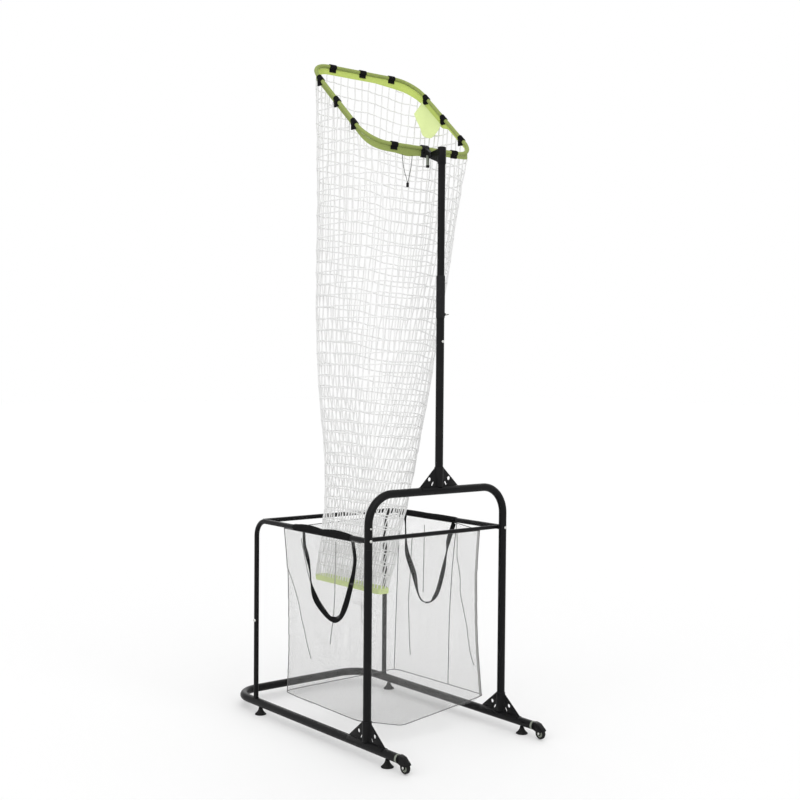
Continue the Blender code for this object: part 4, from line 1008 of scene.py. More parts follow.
class Recipes:
    """The Geometry Nodes trees that the sub-assemblies share."""

    def __init__(self) -> None:
        """Build the trees."""
        self.tube = self.make_tube()
        self.netting = self.make_netting()
        self.beads = self.make_beads()

    @staticmethod
    def make_tube() -> Recipe:
        """Return the tree that sweeps a round tube along a path."""
        recipe = Recipe("tube_along_path")
        radius = recipe.size("Radius", 0.01)
        sides = recipe.size("Sides", 40, "NodeSocketInt")
        return recipe.close(recipe.swept(radius, sides))

    @staticmethod
    def make_netting() -> Recipe:
        """Return the tree that makes cords along a mesh's edges, with a knot at each crossing."""
        recipe = Recipe("knotted_netting")
        cord = recipe.size("Cord Radius", 0.001)
        knot = recipe.size("Knot Radius", 0.002)
        crossing = recipe.add("GeometryNodeInputNamedAttribute", {"Name": "crossing"}, data_type="BOOLEAN")
        blob = recipe.add("GeometryNodeMeshIcoSphere", {"Radius": knot, "Subdivisions": 1})
        turns = {"Min": (0.0, 0.0, 0.0), "Max": (3.1, 3.1, 3.1), "Seed": 4}
        turn = recipe.add("FunctionNodeRandomValue", turns, data_type="FLOAT_VECTOR")
        knots = recipe.add("GeometryNodeInstanceOnPoints",
                           {"Points": recipe.drawing, "Selection": crossing, "Instance": blob,
                            "Rotation": turn, "Scale": (1.0, 1.0, 0.8)})
        both = add_node(recipe.tree, "GeometryNodeJoinGeometry")
        for part in (knots, recipe.swept(cord, 5, True)):
            recipe.tree.links.new(part, both.inputs[0])
        return recipe.close(both.outputs[0])

    @staticmethod
    def make_beads() -> Recipe:
        """Return the tree that lays small rounded beads along a path: stitches and weld ripples."""
        recipe = Recipe("beads_along_path")
        pitch = recipe.size("Pitch", 0.004)
        length = recipe.size("Length", 0.0015)
        width = recipe.size("Width", 0.0004)
        height = recipe.size("Height", 0.0004)
        points = add_node(recipe.tree, "GeometryNodeCurveToPoints",
                          {"Curve": recipe.curves(), "Length": pitch}, mode="LENGTH").outputs
        blob = recipe.add("GeometryNodeMeshIcoSphere", {"Radius": 1.0, "Subdivisions": 1})
        scale = recipe.add("ShaderNodeCombineXYZ", {"X": width, "Y": height, "Z": length})
        return recipe.close(recipe.add(
            "GeometryNodeInstanceOnPoints",
            {"Points": points["Points"], "Instance": blob, "Rotation": points["Rotation"], "Scale": scale}))


@dataclass(frozen=True)
class HoopShape:
    """The tilted square of the catch hoop."""

    side: float = 0.560
    corner: float = 0.105
    tilt: float = math.radians(42)
    setback: float = 0.109
    height: float = 2.3696
    strap_pitch: float = 0.156

    def origin(self) -> Vector:
        """Return the middle of the hoop's front side."""
        return Vector((POST_X - self.setback, 0, self.height))

    def slope(self) -> Vector:
        """Return the direction up the hoop, away from the mast."""
        return Vector((-math.cos(self.tilt), 0, math.sin(self.tilt)))

    def middle(self) -> Vector:
        """Return the hoop's middle."""
        return self.origin() + self.slope() * (self.side / 2)

    def places(self, count: int) -> list[tuple[Vector, Vector, Vector]]:
        """Return (point, tangent, level vector inward) for places all round, from the high side's middle."""
        half = self.side / 2
        loop = rounded_loop(half, half, self.corner, count)
        points = [self.origin() + self.slope() * (a + half) + LEFT * b for a, b in loop]
        found = []
        for i, point in enumerate(points):
            tangent = (points[(i + 1) % count] - points[i - 1]).normalized()
            inward = tangent.cross(UP).normalized()
            if inward.dot(self.middle() - point) < 0:
                inward = -inward
            found.append((point, tangent, inward))
        return found

    def strap_places(self) -> list[tuple[Vector, Vector]]:
        """Return (point, tangent) under each strap, in the order of the solids' numbers."""
        half = self.side / 2
        places = []
        for step in (-1, 0, 1):
            shift = step * self.strap_pitch
            places.append((self.origin() + self.slope() * self.side + LEFT * shift, LEFT))
            for way in (1, -1):
                up_side = self.origin() + self.slope() * (half + shift)
                places.append((up_side + LEFT * (half * way), self.slope()))
            if step:
                places.append((self.origin() + LEFT * shift, LEFT))
        return places


@dataclass
class CartFrame:
    """The welded and plugged tubes of the cart, and the two tubes of the mast."""

    palette: Palette
    recipes: Recipes
    base_bend: float = 0.120
    arch_bend: float = 0.112
    rail_bend: float = 0.068
    wall: float = 0.0015
    crossbar_x: float = POST_X - 0.972
    arm_end_x: float = POST_X + 0.198
    rear_x: float = POST_X - 0.789
    arch_z: float = 1.0056
    joint_z: float = 0.800
    rear_joint_z: float = 0.408
    foot_plate: float = 0.0031
    bars: tuple = (("rear_top_bar", 0.745, 0.0095), ("bag_rod", 0.0265, ROD_R))
    bar_reach: float = HALF_TRACK - RAIL_R * 0.55
    mast_wall: float = 0.0012
    lower_top_z: float = 1.851
    upper_mast: tuple = (1.702, 2.3587)
    upper_mast_r: float = 0.0145
    lower_mast_r: float = 0.016
    weld_spread: float = 1.08
    weld_points: int = 72

    def tube(self, node: str, corners: list, radius: float, bend: float = 0.0, body: Body = Body.CART,
             wall: float | None = None) -> Object:
        """Build one smooth tube in place of its solid.

        Args:
            node: the solid that it stands for.
            corners: the corners of its middle line.
            radius: its outer radius.
            bend: the radius of its bends.
            body: the body that it rides on.
            wall: its wall, or the frame's usual one.

        Returns:
            The tube.
        """
        path = [Vector(corner) for corner in corners]
        if bend:
            path = bent_path(path, bend)
        obj = self.recipes.tube.grow(f"{node}_smooth", path, chain(path), self.palette.coat, Radius=radius,
                                     Sides=48)
        thicken(obj, wall or self.wall)
        return fitted(smooth(obj), body, Slot.COAT, node)

    def build(self) -> None:
        """Build every tube."""
        span = HALF_TRACK
        self.tube("base_tube", [(self.arm_end_x, -span, BASE_Z), (self.crossbar_x, -span, BASE_Z),
                                (self.crossbar_x, span, BASE_Z), (self.arm_end_x, span, BASE_Z)],
                  BASE_R, self.base_bend)
        low = self.joint_z + SEAT
        self.tube("arch_tube", [(POST_X, -span, low), (POST_X, -span, self.arch_z),
                                (POST_X, span, self.arch_z), (POST_X, span, low)], POST_R, self.arch_bend)
        for side, way in SIDES.items():
            self.posts(side, way * span)
        for node, setback, radius in self.bars:
            self.tube(node, [(POST_X - setback, way * self.bar_reach, RAIL_Z) for way in (-1, 1)], radius)
        foot_top = self.arch_z + POST_R + self.foot_plate
        self.tube("mast_lower", [(POST_X, 0, foot_top), (POST_X, 0, self.lower_top_z)], self.lower_mast_r,
                  wall=self.mast_wall)
        self.tube("mast_upper", [(POST_X, 0, z) for z in self.upper_mast], self.upper_mast_r, 0.0, Body.MAST,
                  self.mast_wall)

    def posts(self, side: str, y: float) -> None:
        """Build the front post, the rail with its rear post and the stub of the side at y."""
        foot_top = BASE_Z + BASE_R + self.foot_plate
        self.tube(f"front_post_{side}", [(POST_X, y, foot_top), (POST_X, y, self.joint_z)], POST_R)
        rail_corners = [(self.rear_x, y, self.rear_joint_z + SEAT), (self.rear_x, y, RAIL_Z),
                        (POST_X - POST_R - SEAT, y, RAIL_Z)]
        rail = self.tube(f"side_rail_{side}", rail_corners, RAIL_R, self.rail_bend)
        self.cope(rail, 0, POST_X, y, POST_R, -1)
        stub_corners = [(self.rear_x, y, BASE_Z + BASE_R), (self.rear_x, y, self.rear_joint_z)]
        stub = self.tube(f"rear_stub_{side}", stub_corners, RAIL_R)
        self.cope(stub, 2, BASE_Z, y, BASE_R, 1)
        self.weld_bead(side, y)

    @staticmethod
    def cope(obj: Object, axis: int, end: float, middle: float, radius: float, way: int) -> None:
        """Shape a tube's end to the round tube that it meets.

        Args:
            obj: the tube.
            axis: the axis along which it ends, 0 or 2.
            end: the other tube's middle, along that axis.
            middle: the tube's own place across.
            radius: the other tube's radius.
            way: -1 where the tube comes from below, 1 where it leaves upwards.
        """
        reach = radius + SEAT
        near = 4 * SEAT
        for vert in obj.data.vertices:
            if abs(vert.co[axis] - (end + way * radius)) < near:
                across = vert.co[1] - middle
                vert.co[axis] = end + way * math.sqrt(max(reach ** 2 - across ** 2, 0.0))

    def weld_bead(self, side: str, y: float) -> None:
        """Lay the weld round the foot of the rear stub of the side at y."""
        points = []
        for i in range(self.weld_points):
            angle = 2 * math.pi * i / self.weld_points
            back = RAIL_R * math.cos(angle) * self.weld_spread
            across = RAIL_R * math.sin(angle) * self.weld_spread
            z = BASE_Z + math.sqrt(BASE_R ** 2 - across ** 2) + 0.0008
            points.append(Vector((self.rear_x + back, y + across, z)))
        bead = self.recipes.beads.grow(f"stub_weld_{side}", points, chain(points, True), self.palette.coat,
                                       Pitch=0.0018, Length=0.0017, Width=0.0021, Height=0.0019)
        fitted(bead, Body.CART, Slot.COAT)


@dataclass
class Hardware:
    """Feet, bolts, buttons, clamps and casters: the small turned and pressed pieces.

    An outline is a row of (distance along the axis, radius) pairs. The wheel's sizes are half its width and
    the radii of its bore, hub, rim and tread.
    """

    palette: Palette
    wheel_x: float = POST_X + 0.233
    wheel_z: float = 0.026
    wheel_sizes: tuple = (0.0075, 0.0033, 0.008, 0.0165, 0.023)
    hole_out: float = 0.050
    hole_up: float = 0.031
    hole_r: float = 0.0078
    grip_cap: float = 0.009
    button_drop: float = 0.008
    button_outline: tuple = ((-0.0034, 0.0072), (0.0008, 0.0072), (0.0024, 0.0060), (0.0035, 0.0036),
                             (0.0037, 0.0012))
    # the painted highlight band: distance along the tube and how far it stands proud
    highlight_ring_outline: tuple = ((-0.0100, 0.0001), (-0.0098, 0.0006), (-0.0008, 0.0006), (-0.0006, 0.0001))
    pad_lip: tuple = ((0.0, 0.0225), (0.0006, 0.0241), (0.0016, 0.0245), (0.003, 0.0243))
    pad_neck: float = 0.0092
    nut_outline: tuple = ((0.0, 0.0075), (0.0006, 0.0084), (0.0064, 0.0084), (0.007, 0.0075))
    stud_rise: float = 0.0135
    stud_pitch: float = 0.0005

    def solid(self, node: str, finish: Material, slot: Slot, body: Body = Body.CART) -> None:
        """Put a clean copy of a solid in its place.

        Args:
            node: the solid's name.
            finish: its material.
            slot: its material slot.
            body: the body that it rides on.
        """
        fitted(refined(node, finish), body, slot, node)

    def build(self) -> None:
        """Build every small piece."""
        coat, steel, plastic = self.palette.coat, self.palette.steel, self.palette.plastic
        for side, way in SIDES.items():
            self.gusset_foot(f"post_foot_{side}", Vector((POST_X, way * HALF_TRACK, BASE_Z + BASE_R)), AHEAD)
            self.solid(f"caster_fork_{side}", coat, Slot.COAT)
            self.solid(f"caster_axle_{side}", steel, Slot.STEEL)
            self.solid(f"rail_bolt_{side}", steel, Slot.STEEL)
            self.solid(f"post_button_{side}", steel, Slot.STEEL, Body(f"button_{side}"))
            self.wheel(side)
            self.rear_button(side)
            self.plug_highlight_ring(side)
            for end in ("front", "rear"):
                self.levelling_foot(f"foot_{end}_{side}")
        self.gusset_foot("mast_foot", Vector((POST_X, 0, CartFrame.arch_z + POST_R)), LEFT)
        self.solid("mast_collar", plastic, Slot.PLASTIC)
        self.solid("mast_stop_bolt", steel, Slot.STEEL)
        self.solid("height_clamp", steel, Slot.STEEL, Body.HEIGHT_CLAMP)
        self.solid("mast_head", coat, Slot.COAT, Body.MAST)
        self.solid("tilt_bolt", plastic, Slot.STEEL, Body.MAST)
        self.solid("hoop_clamp", plastic, Slot.PLASTIC, Body.HOOP)
        self.grip("clamp_knob")
        self.solid("cord_lock", plastic, Slot.PLASTIC, Body.HOOP)

    def gusset_foot(self, node: str, seat: Vector, along: Vector) -> None:
        """Build one gusset foot, with its two round holes cut out to their full width.

        Args:
            node: the solid that it stands for.
            seat: the top of the tube that it stands on, under its post.
            along: the tube's direction.
        """
        obj = refined(node, self.palette.coat)
        bm = bmesh.new()
        for way in (-1, 1):
            hole = seat + along * (way * self.hole_out) + UP * self.hole_up
            place = Matrix.Translation(hole) @ along.cross(UP).to_track_quat("Z", "Y").to_matrix().to_4x4()
            bmesh.ops.create_cone(bm, cap_ends=True, segments=32, radius1=self.hole_r, radius2=self.hole_r,
                                  depth=0.02, matrix=place)
        cutter = object_from(bm, "hole_cutter", self.palette.coat)
        modifier = obj.modifiers.new("holes", "BOOLEAN")
        modifier.object = cutter
        modifier.operation = "DIFFERENCE"
        settle(obj)
        bpy.data.objects.remove(cutter)
        fitted(smooth(obj, 40.0), Body.CART, Slot.COAT, node)

    def grip(self, node: str) -> None:
        """Build the fluted grip of the hoop clamp's screw, with its dark cap below."""
        obj = refined(node, self.palette.knob)
        obj.data.materials.append(self.palette.plastic)
        cap_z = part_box(node)[0][2] + self.grip_cap
        for polygon in obj.data.polygons:
            if polygon.center.z < cap_z:
                polygon.material_index = 1
        fitted(obj, Body.CLAMP_KNOB, Slot.STEEL, node)

    def rear_button(self, side: str) -> None:
        """Build the bright button at the joint of one side's rear post, on its outer side."""
        button_z = CartFrame.rear_joint_z - self.button_drop
        centre = Vector((CartFrame.rear_x, SIDES[side] * HALF_TRACK, button_z))
        outline = [(RAIL_R + out, radius) for out, radius in self.button_outline]
        obj = lathe(f"rear_button_{side}", centre, LEFT * SIDES[side], outline, self.palette.steel, 32)
        fitted(smooth(obj, 40), Body.CART, Slot.STEEL)

    def plug_highlight_ring(self, side: str) -> None:
        """Build a thin grey band round the end of the floor tube at one side's caster plug: a painted
        highlight.
        """
        centre = Vector((CartFrame.arm_end_x, SIDES[side] * HALF_TRACK, BASE_Z))
        outline = [(along, BASE_R + proud) for along, proud in self.highlight_ring_outline]
        # The grey knob plastic on this thin band is a painted highlight round the tube's end.
        obj = lathe(f"caster_highlight_ring_{side}", centre, AHEAD, outline, self.palette.knob, closed=True)
        fitted(smooth(obj, 40), Body.CART, Slot.PLASTIC)

    def wheel(self, side: str) -> None:
        """Turn one side's caster wheel: a crowned tread with two grooves, dished faces and a hub, the dished
        faces grey as a painted highlight ring.
        """
        half, bore, hub, rim, tread = self.wheel_sizes
        face = half - 0.002
        right = [(0.0, tread), (half * 0.28, tread), (half * 0.34, tread - 0.0006),
                 (half * 0.42, tread - 0.0006), (half * 0.48, tread - 0.0001), (half * 0.78, tread - 0.0006),
                 (half * 0.95, tread - 0.0016), (half, tread - 0.003), (half, rim + 0.0006),
                 (half - 0.0004, rim), (face, rim - 0.001), (face, hub + 0.001), (half - 0.0003, hub),
                 (half, hub - 0.0005), (half, bore + 0.0005), (half - 0.0005, bore)]
        outline = right + [(-a, r) for a, r in reversed(right[1:])]
        centre = Vector((self.wheel_x, SIDES[side] * HALF_TRACK, self.wheel_z))
        obj = lathe(f"caster_wheel_{side}_turned", centre, LEFT, outline, self.palette.rubber, 56, True)
        # The dished faces between hub and rim take the grey knob plastic: a painted highlight ring.
        obj.data.materials.append(self.palette.knob)
        for polygon in obj.data.polygons:
            arm = polygon.center - centre
            if hub - 0.001 < math.hypot(arm.x, arm.z) < rim - 0.003 and abs(arm.y) < half - 0.0006:
                polygon.material_index = 1
        fitted(smooth(obj, 38), Body(f"wheel_{side}"), Slot.RUBBER, f"caster_wheel_{side}")

    def levelling_foot(self, node: str) -> None:
        """Turn one levelling foot: a flared pad, a hexagonal locknut and a threaded stud.

        Args:
            node: the solid that it stands for, which has its body's name.
        """
        low, high = (Vector(corner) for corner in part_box(node))
        centre = Vector(((low.x + high.x) / 2, (low.y + high.y) / 2, 0.0))
        nut_tall = self.nut_outline[-1][0]
        nut_z = BASE_Z - BASE_R - SEAT - nut_tall
        lip_z, lip_r = self.pad_lip[-1]
        flare = [(lip_z + (nut_z - lip_z) * s, self.pad_neck + (lip_r - self.pad_neck) * (1 - s) ** 1.7)
                 for s in np.linspace(0.08, 1, 12)]
        pad = lathe(f"{node}_pad", centre, UP, [*self.pad_lip, *flare], self.palette.rubber)
        hexagon = [(nut_z + up, radius) for up, radius in self.nut_outline]
        nut = lathe(f"{node}_nut", centre, UP, hexagon, self.palette.coat, 6)
        stud_top = BASE_Z - BASE_R + self.stud_rise
        thread = [(nut_z + nut_tall + self.stud_pitch * i, 0.0040 - 0.0004 * (i % 2)) for i in range(26)]
        thread = [(z, radius) for z, radius in thread if z < stud_top] + [(stud_top, 0.0034)]
        root = (nut_z + nut_tall - self.stud_pitch, 0.0036)
        stud = lathe(f"{node}_stud", centre, UP, [root, *thread], self.palette.coat, 24)
        obj = join(f"{node}_turned", [pad, nut, stud])
        fitted(smooth(obj, 38), Body(node), Slot.RUBBER, node)


@dataclass(frozen=True)
class Gathers:
    """How far the border's cloth is drawn up on each part of the hoop, in metres."""

    right: float = 0.022
    front: float = 0.013
    past_mast: float = 0.011
    channel: float = 0.008
    low_left: float = 0.024
    high: float = 0.011
    least_drop: float = 0.008


@dataclass(frozen=True)
class FlapCut:
    """The flap's cut and hang; a pair is a value at its high end and what it gains over its width."""

    start: float = 0.196
    width: float = 0.178
    lean: tuple[float, float] = (0.036, 0.014)
    reach: tuple[float, float] = (0.030, 0.070)
    round_ends: tuple[float, float] = (0.06, 0.88)
    roundness: float = 0.55
    ripple: float = 0.0060
    swing: float = 0.010
    columns: int = 36
    rows: int = 16


@dataclass
class Hoop:
    """The hoop tube in its cloth sleeve, the border, its flap and straps, and the draw cord."""

    palette: Palette
    recipes: Recipes
    shape: HoopShape = HoopShape()
    gathers: Gathers = Gathers()
    cut: FlapCut = FlapCut()
    count: int = 256
    sleeve_sides: int = 32
    pucker: float = 0.00035
    band: float = 0.0010
    border_rows: int = 8
    border_wave: float = 0.0016
    notch: float = 0.0136
    notch_depth: float = 0.34
    strap_size: tuple = (0.034, 0.0024, 0.014)
    jaw_size: tuple = (0.036, 0.0050, 0.026)
    cord_r: float = 0.0011
    cord_route: tuple = ((0.0000, -0.1140, 0.0100), (0.0000, -0.1130, -0.0050), (0.0010, -0.1090, -0.0350),
                         (0.0030, -0.1020, -0.0650), (0.0045, -0.0950, -0.0850), (0.0050, -0.0925, -0.0960),
                         (0.0050, -0.0900, -0.0990), (0.0050, -0.0875, -0.0960), (0.0045, -0.0850, -0.0850),
                         (0.0030, -0.0780, -0.0650), (0.0010, -0.0700, -0.0350), (0.0000, -0.0650, -0.0050),
                         (0.0000, -0.0640, 0.0100))

    def build(self) -> None:
        """Build the hoop's own pieces."""
        self.draw_cord()
        self.sleeve()
        self.border()
        self.flap()
        for number, (place, tangent) in enumerate(self.shape.strap_places(), 1):
            strap = self.strap(f"hoop_strap_{number:02d}", place, tangent, self.palette.webbing,
                               self.strap_size)
            fitted(strap, Body.HOOP, Slot.WEBBING, f"strap_{number:02d}")
        jaw = self.strap("hoop_clamp_jaw", self.shape.origin(), LEFT, self.palette.plastic, self.jaw_size)
        fitted(jaw, Body.HOOP, Slot.PLASTIC)

    def draw_cord(self) -> None:
        """Build the draw cord along the route of its solid."""
        drop = HOOP_TUBE_R + SEAT + BORDER_DROP
        top = self.shape.origin() + AHEAD * (0.0008 + SEAT + self.cord_r) - UP * drop
        route = smooth_route([top + Vector(place) for place in self.cord_route], 4)
        curve = bpy.data.curves.new("draw_cord_laid", "CURVE")
        curve.dimensions = "3D"
        curve.bevel_depth = self.cord_r
        curve.bevel_resolution = 4
        curve.use_fill_caps = True
        spline = curve.splines.new("POLY")
        spline.points.add(len(route) - 1)
        for point, place in zip(spline.points, route):
            point.co = (*place, 1.0)
        curve.materials.append(self.palette.dark_cord)
        cord = placed("draw_cord_laid", curve)
        length = runs(route)[-1]
        fitted(cord, Body.HOOP, Slot.PLASTIC, "draw_cord")

    def sleeve(self) -> None:
        """Build the hoop tube in its tight cloth sleeve, slightly puckered between the straps."""
        places = self.shape.places(self.count)
        places.append(places[0])
        around = spread(2 * math.pi * HOOP_TUBE_R, self.sleeve_sides)
        cloth = Cloth(wrap=True)
        for (point, tangent, inward), run in zip(places, runs([place[0] for place in places])):
            normal = tangent.cross(inward).normalized()
            row = []
            for k in range(self.sleeve_sides):
                angle = 2 * math.pi * k / self.sleeve_sides
                spoke = inward * math.cos(angle) + normal * math.sin(angle)
                pucker = self.pucker * noise.noise(point * 60 + spoke * 1.4)
                row.append(point + spoke * (HOOP_TUBE_R + pucker))
            cloth.add(row, [(run, place) for place in around])
        obj = merge(cloth.piece("hoop_sleeve", self.palette.pole))
        fitted(obj, Body.HOOP, Slot.POLE, "hoop_tube")

    def drop_at(self, point: Vector, inward: Vector) -> float:
        """Return how deep the border hangs at a place.

        It is gathered up along the right side, the front, the low half of the left side and most of the high
        side, and it is deeper where the draw cord leaves it.

        Args:
            point: the place on the tube's middle line.
            inward: the level direction towards the inside.

        Returns:
            The depth.
        """
        by = self.gathers
        right = max(0.0, inward.y) ** 3
        front = max(0.0, -inward.x) ** 3
        rise = (point.z - self.shape.height) / math.sin(self.shape.tilt)
        low = max(0.0, -inward.y) ** 2 * held((0.29 - rise) / 0.05) * held((rise - 0.05) / 0.04)
        channel = math.exp(-((point.y + 0.089) / 0.045) ** 2)
        past_mast = held((point.y - 0.03) / 0.05)
        high = max(0.0, inward.x) ** 3 * held((0.19 - point.y) / 0.12)
        gathered = (by.right * right + (by.front + by.past_mast * past_mast - by.channel * channel) * front
                    + by.low_left * low + by.high * high)
        return BORDER_DROP - min(gathered, BORDER_DROP - by.least_drop)

    def edge_place(self, place: tuple[Vector, Vector, Vector], depth: float) -> Vector:
        """Return a point of the border's cloth.

        Args:
            place: one of the hoop's places.
            depth: share of the border's depth, from 0 under the tube to 1 at the net.

        Returns:
            The point.
        """
        point, tangent, inward = place
        level = math.hypot(tangent.x, tangent.y)
        top = (HOOP_TUBE_R + SEAT) / level
        wave = self.border_wave * noise.noise(point * 9.0) * depth
        return point - UP * (top + self.drop_at(point, inward) * depth) + inward * wave

    def border(self) -> None:
        """Build the border cloth, cut away round the clamp, with a row of stitches along each edge."""
        places = self.shape.places(self.count)
        closed = places + places[:1]
        cloth = Cloth()
        marks = runs([place[0] for place in closed])
        for place, run in zip(closed, marks):
            at_clamp = place[0].x > self.shape.origin().x - 0.02 and abs(place[0].y) < self.notch
            start = self.notch_depth if at_clamp else 0.0
            depths = [start + share for share in spread(1 - start, self.border_rows)]
            cloth.add([self.edge_place(place, depth) for depth in depths],
                      [(run, BORDER_DROP * depth) for depth in depths])
        obj = thicken(merge(cloth.piece("hoop_border_cloth", self.palette.lime)), self.band, 0.0)
        # The border's outer face is painted darker olive: painted shade.
        self.shade_outer_face(obj)
        fitted(smooth(obj, 50), Body.HOOP, Slot.LIME, "hoop_border")
        for row, depth in enumerate((0.10, 0.86)):
            for way, face in ((-1, "out"), (1, "in")):
                lift = way * (self.band / 2 + 0.00012)
                points = [self.edge_place(place, depth) + place[2] * lift for place in places]
                stitches = self.recipes.beads.grow(
                    f"border_stitches_{row}_{face}", points, chain(points, True), self.palette.thread,
                    Pitch=0.0042, Length=0.0014, Width=0.00035, Height=0.00035)
                fitted(stitches, Body.HOOP, Slot.LIME)

    def shade_outer_face(self, obj: Object) -> None:
        """Paint the walled border's outer face with the tube's darker olive cloth, as painted shade."""
        obj.data.materials.append(self.palette.pole)
        for polygon in obj.data.polygons:
            outward = polygon.center - self.shape.middle()
            outward.z = 0.0
            # Outward faces take the darker olive cloth: painted shade.
            if polygon.normal.dot(outward) > 0:
                polygon.material_index = 1

    def flap(self) -> None:
        """Build the pale cloth flap that hangs inside the left side, between two straps."""
        cut, slope = self.cut, self.shape.slope()
        half = self.shape.side / 2
        drop = (HOOP_TUBE_R + SEAT) / math.cos(self.shape.tilt) + BORDER_DROP * 0.7
        cloth = Cloth()
        for share in spread(1.0, cut.columns):
            point = self.shape.origin() + slope * (half + cut.start - cut.width * share) + LEFT * half
            top = point - UP * drop - LEFT * 0.0030
            lean = cut.lean[0] + cut.lean[1] * share
            bow = math.sin(math.pi * (cut.round_ends[0] + cut.round_ends[1] * share)) ** cut.roundness
            reach = cut.reach[0] + cut.reach[1] * bow
            row = []
            for down in spread(1.0, cut.rows):
                ripple = cut.ripple * math.sin(9 * share + 2.2 * down) * down
                row.append(top - UP * (reach * down) - LEFT * (lean * down ** 1.4 + ripple)
                           + slope * (cut.swing * math.sin(3 * share) * down))
            cloth.add(row, [(cut.width * share, place) for place in spread(reach, cut.rows)])
        obj = thicken(cloth.piece("border_flap", self.palette.pale_lime), 0.0007, 0.0)
        fitted(smooth(obj, 50), Body.HOOP, Slot.LIME)

    def strap(self, name: str, place: Vector, tangent: Vector, finish: Material,
              size: tuple[float, float, float]) -> Object:
        """Build one strap: round the tube and down both faces of the border.

        Args:
            name: the piece's name.
            place: the point of the tube's middle line under it.
            tangent: the tube's direction there.
            finish: its material.
            size: its width, its thickness and how far it hangs below the tube.

        Returns:
            The strap.
        """
        width, thick, tail = size
        side = tangent.cross(UP).normalized()
        down = tangent.cross(side)
        radius = HOOP_TUBE_R + SEAT + thick / 2 + 0.0004
        gap = self.band / 2 + SEAT + thick / 2
        reach = radius + tail - 0.002 + 0.002 * noise.noise(place * 31.0)
        flat = [(gap, reach - (reach - 0.004) * k / 6) for k in range(6)]
        start = math.asin(gap / radius)
        angles = [start + turned for turned in spread(2 * math.pi - 2 * start, 28)]
        arc = [(radius * math.sin(angle), radius * math.cos(angle)) for angle in angles]
        lean = tangent.z / math.hypot(tangent.x, tangent.y)
        path = []
        for a, b in flat + arc + [(-a, b) for a, b in reversed(flat)]:
            point = place + side * a + down * b
            path.append(point - tangent * (max(0.0, b - radius / 2) * lean))
        faces = [tangent.cross(along).normalized() for along in tangents(path)]
        return ribbon(name, path, faces, width, thick, finish)


@dataclass
class Netting:
    """The drawing of a net: its points, the cords between them, and which points are knots."""

    points: Points = field(default_factory=list)
    edges: Edges = field(default_factory=list)
    knots: list[bool] = field(default_factory=list)

    def point(self, place: Vector, knot: bool) -> int:
        """Add a point and return its number."""
        self.points.append(place)
        self.knots.append(knot)
        return len(self.points) - 1


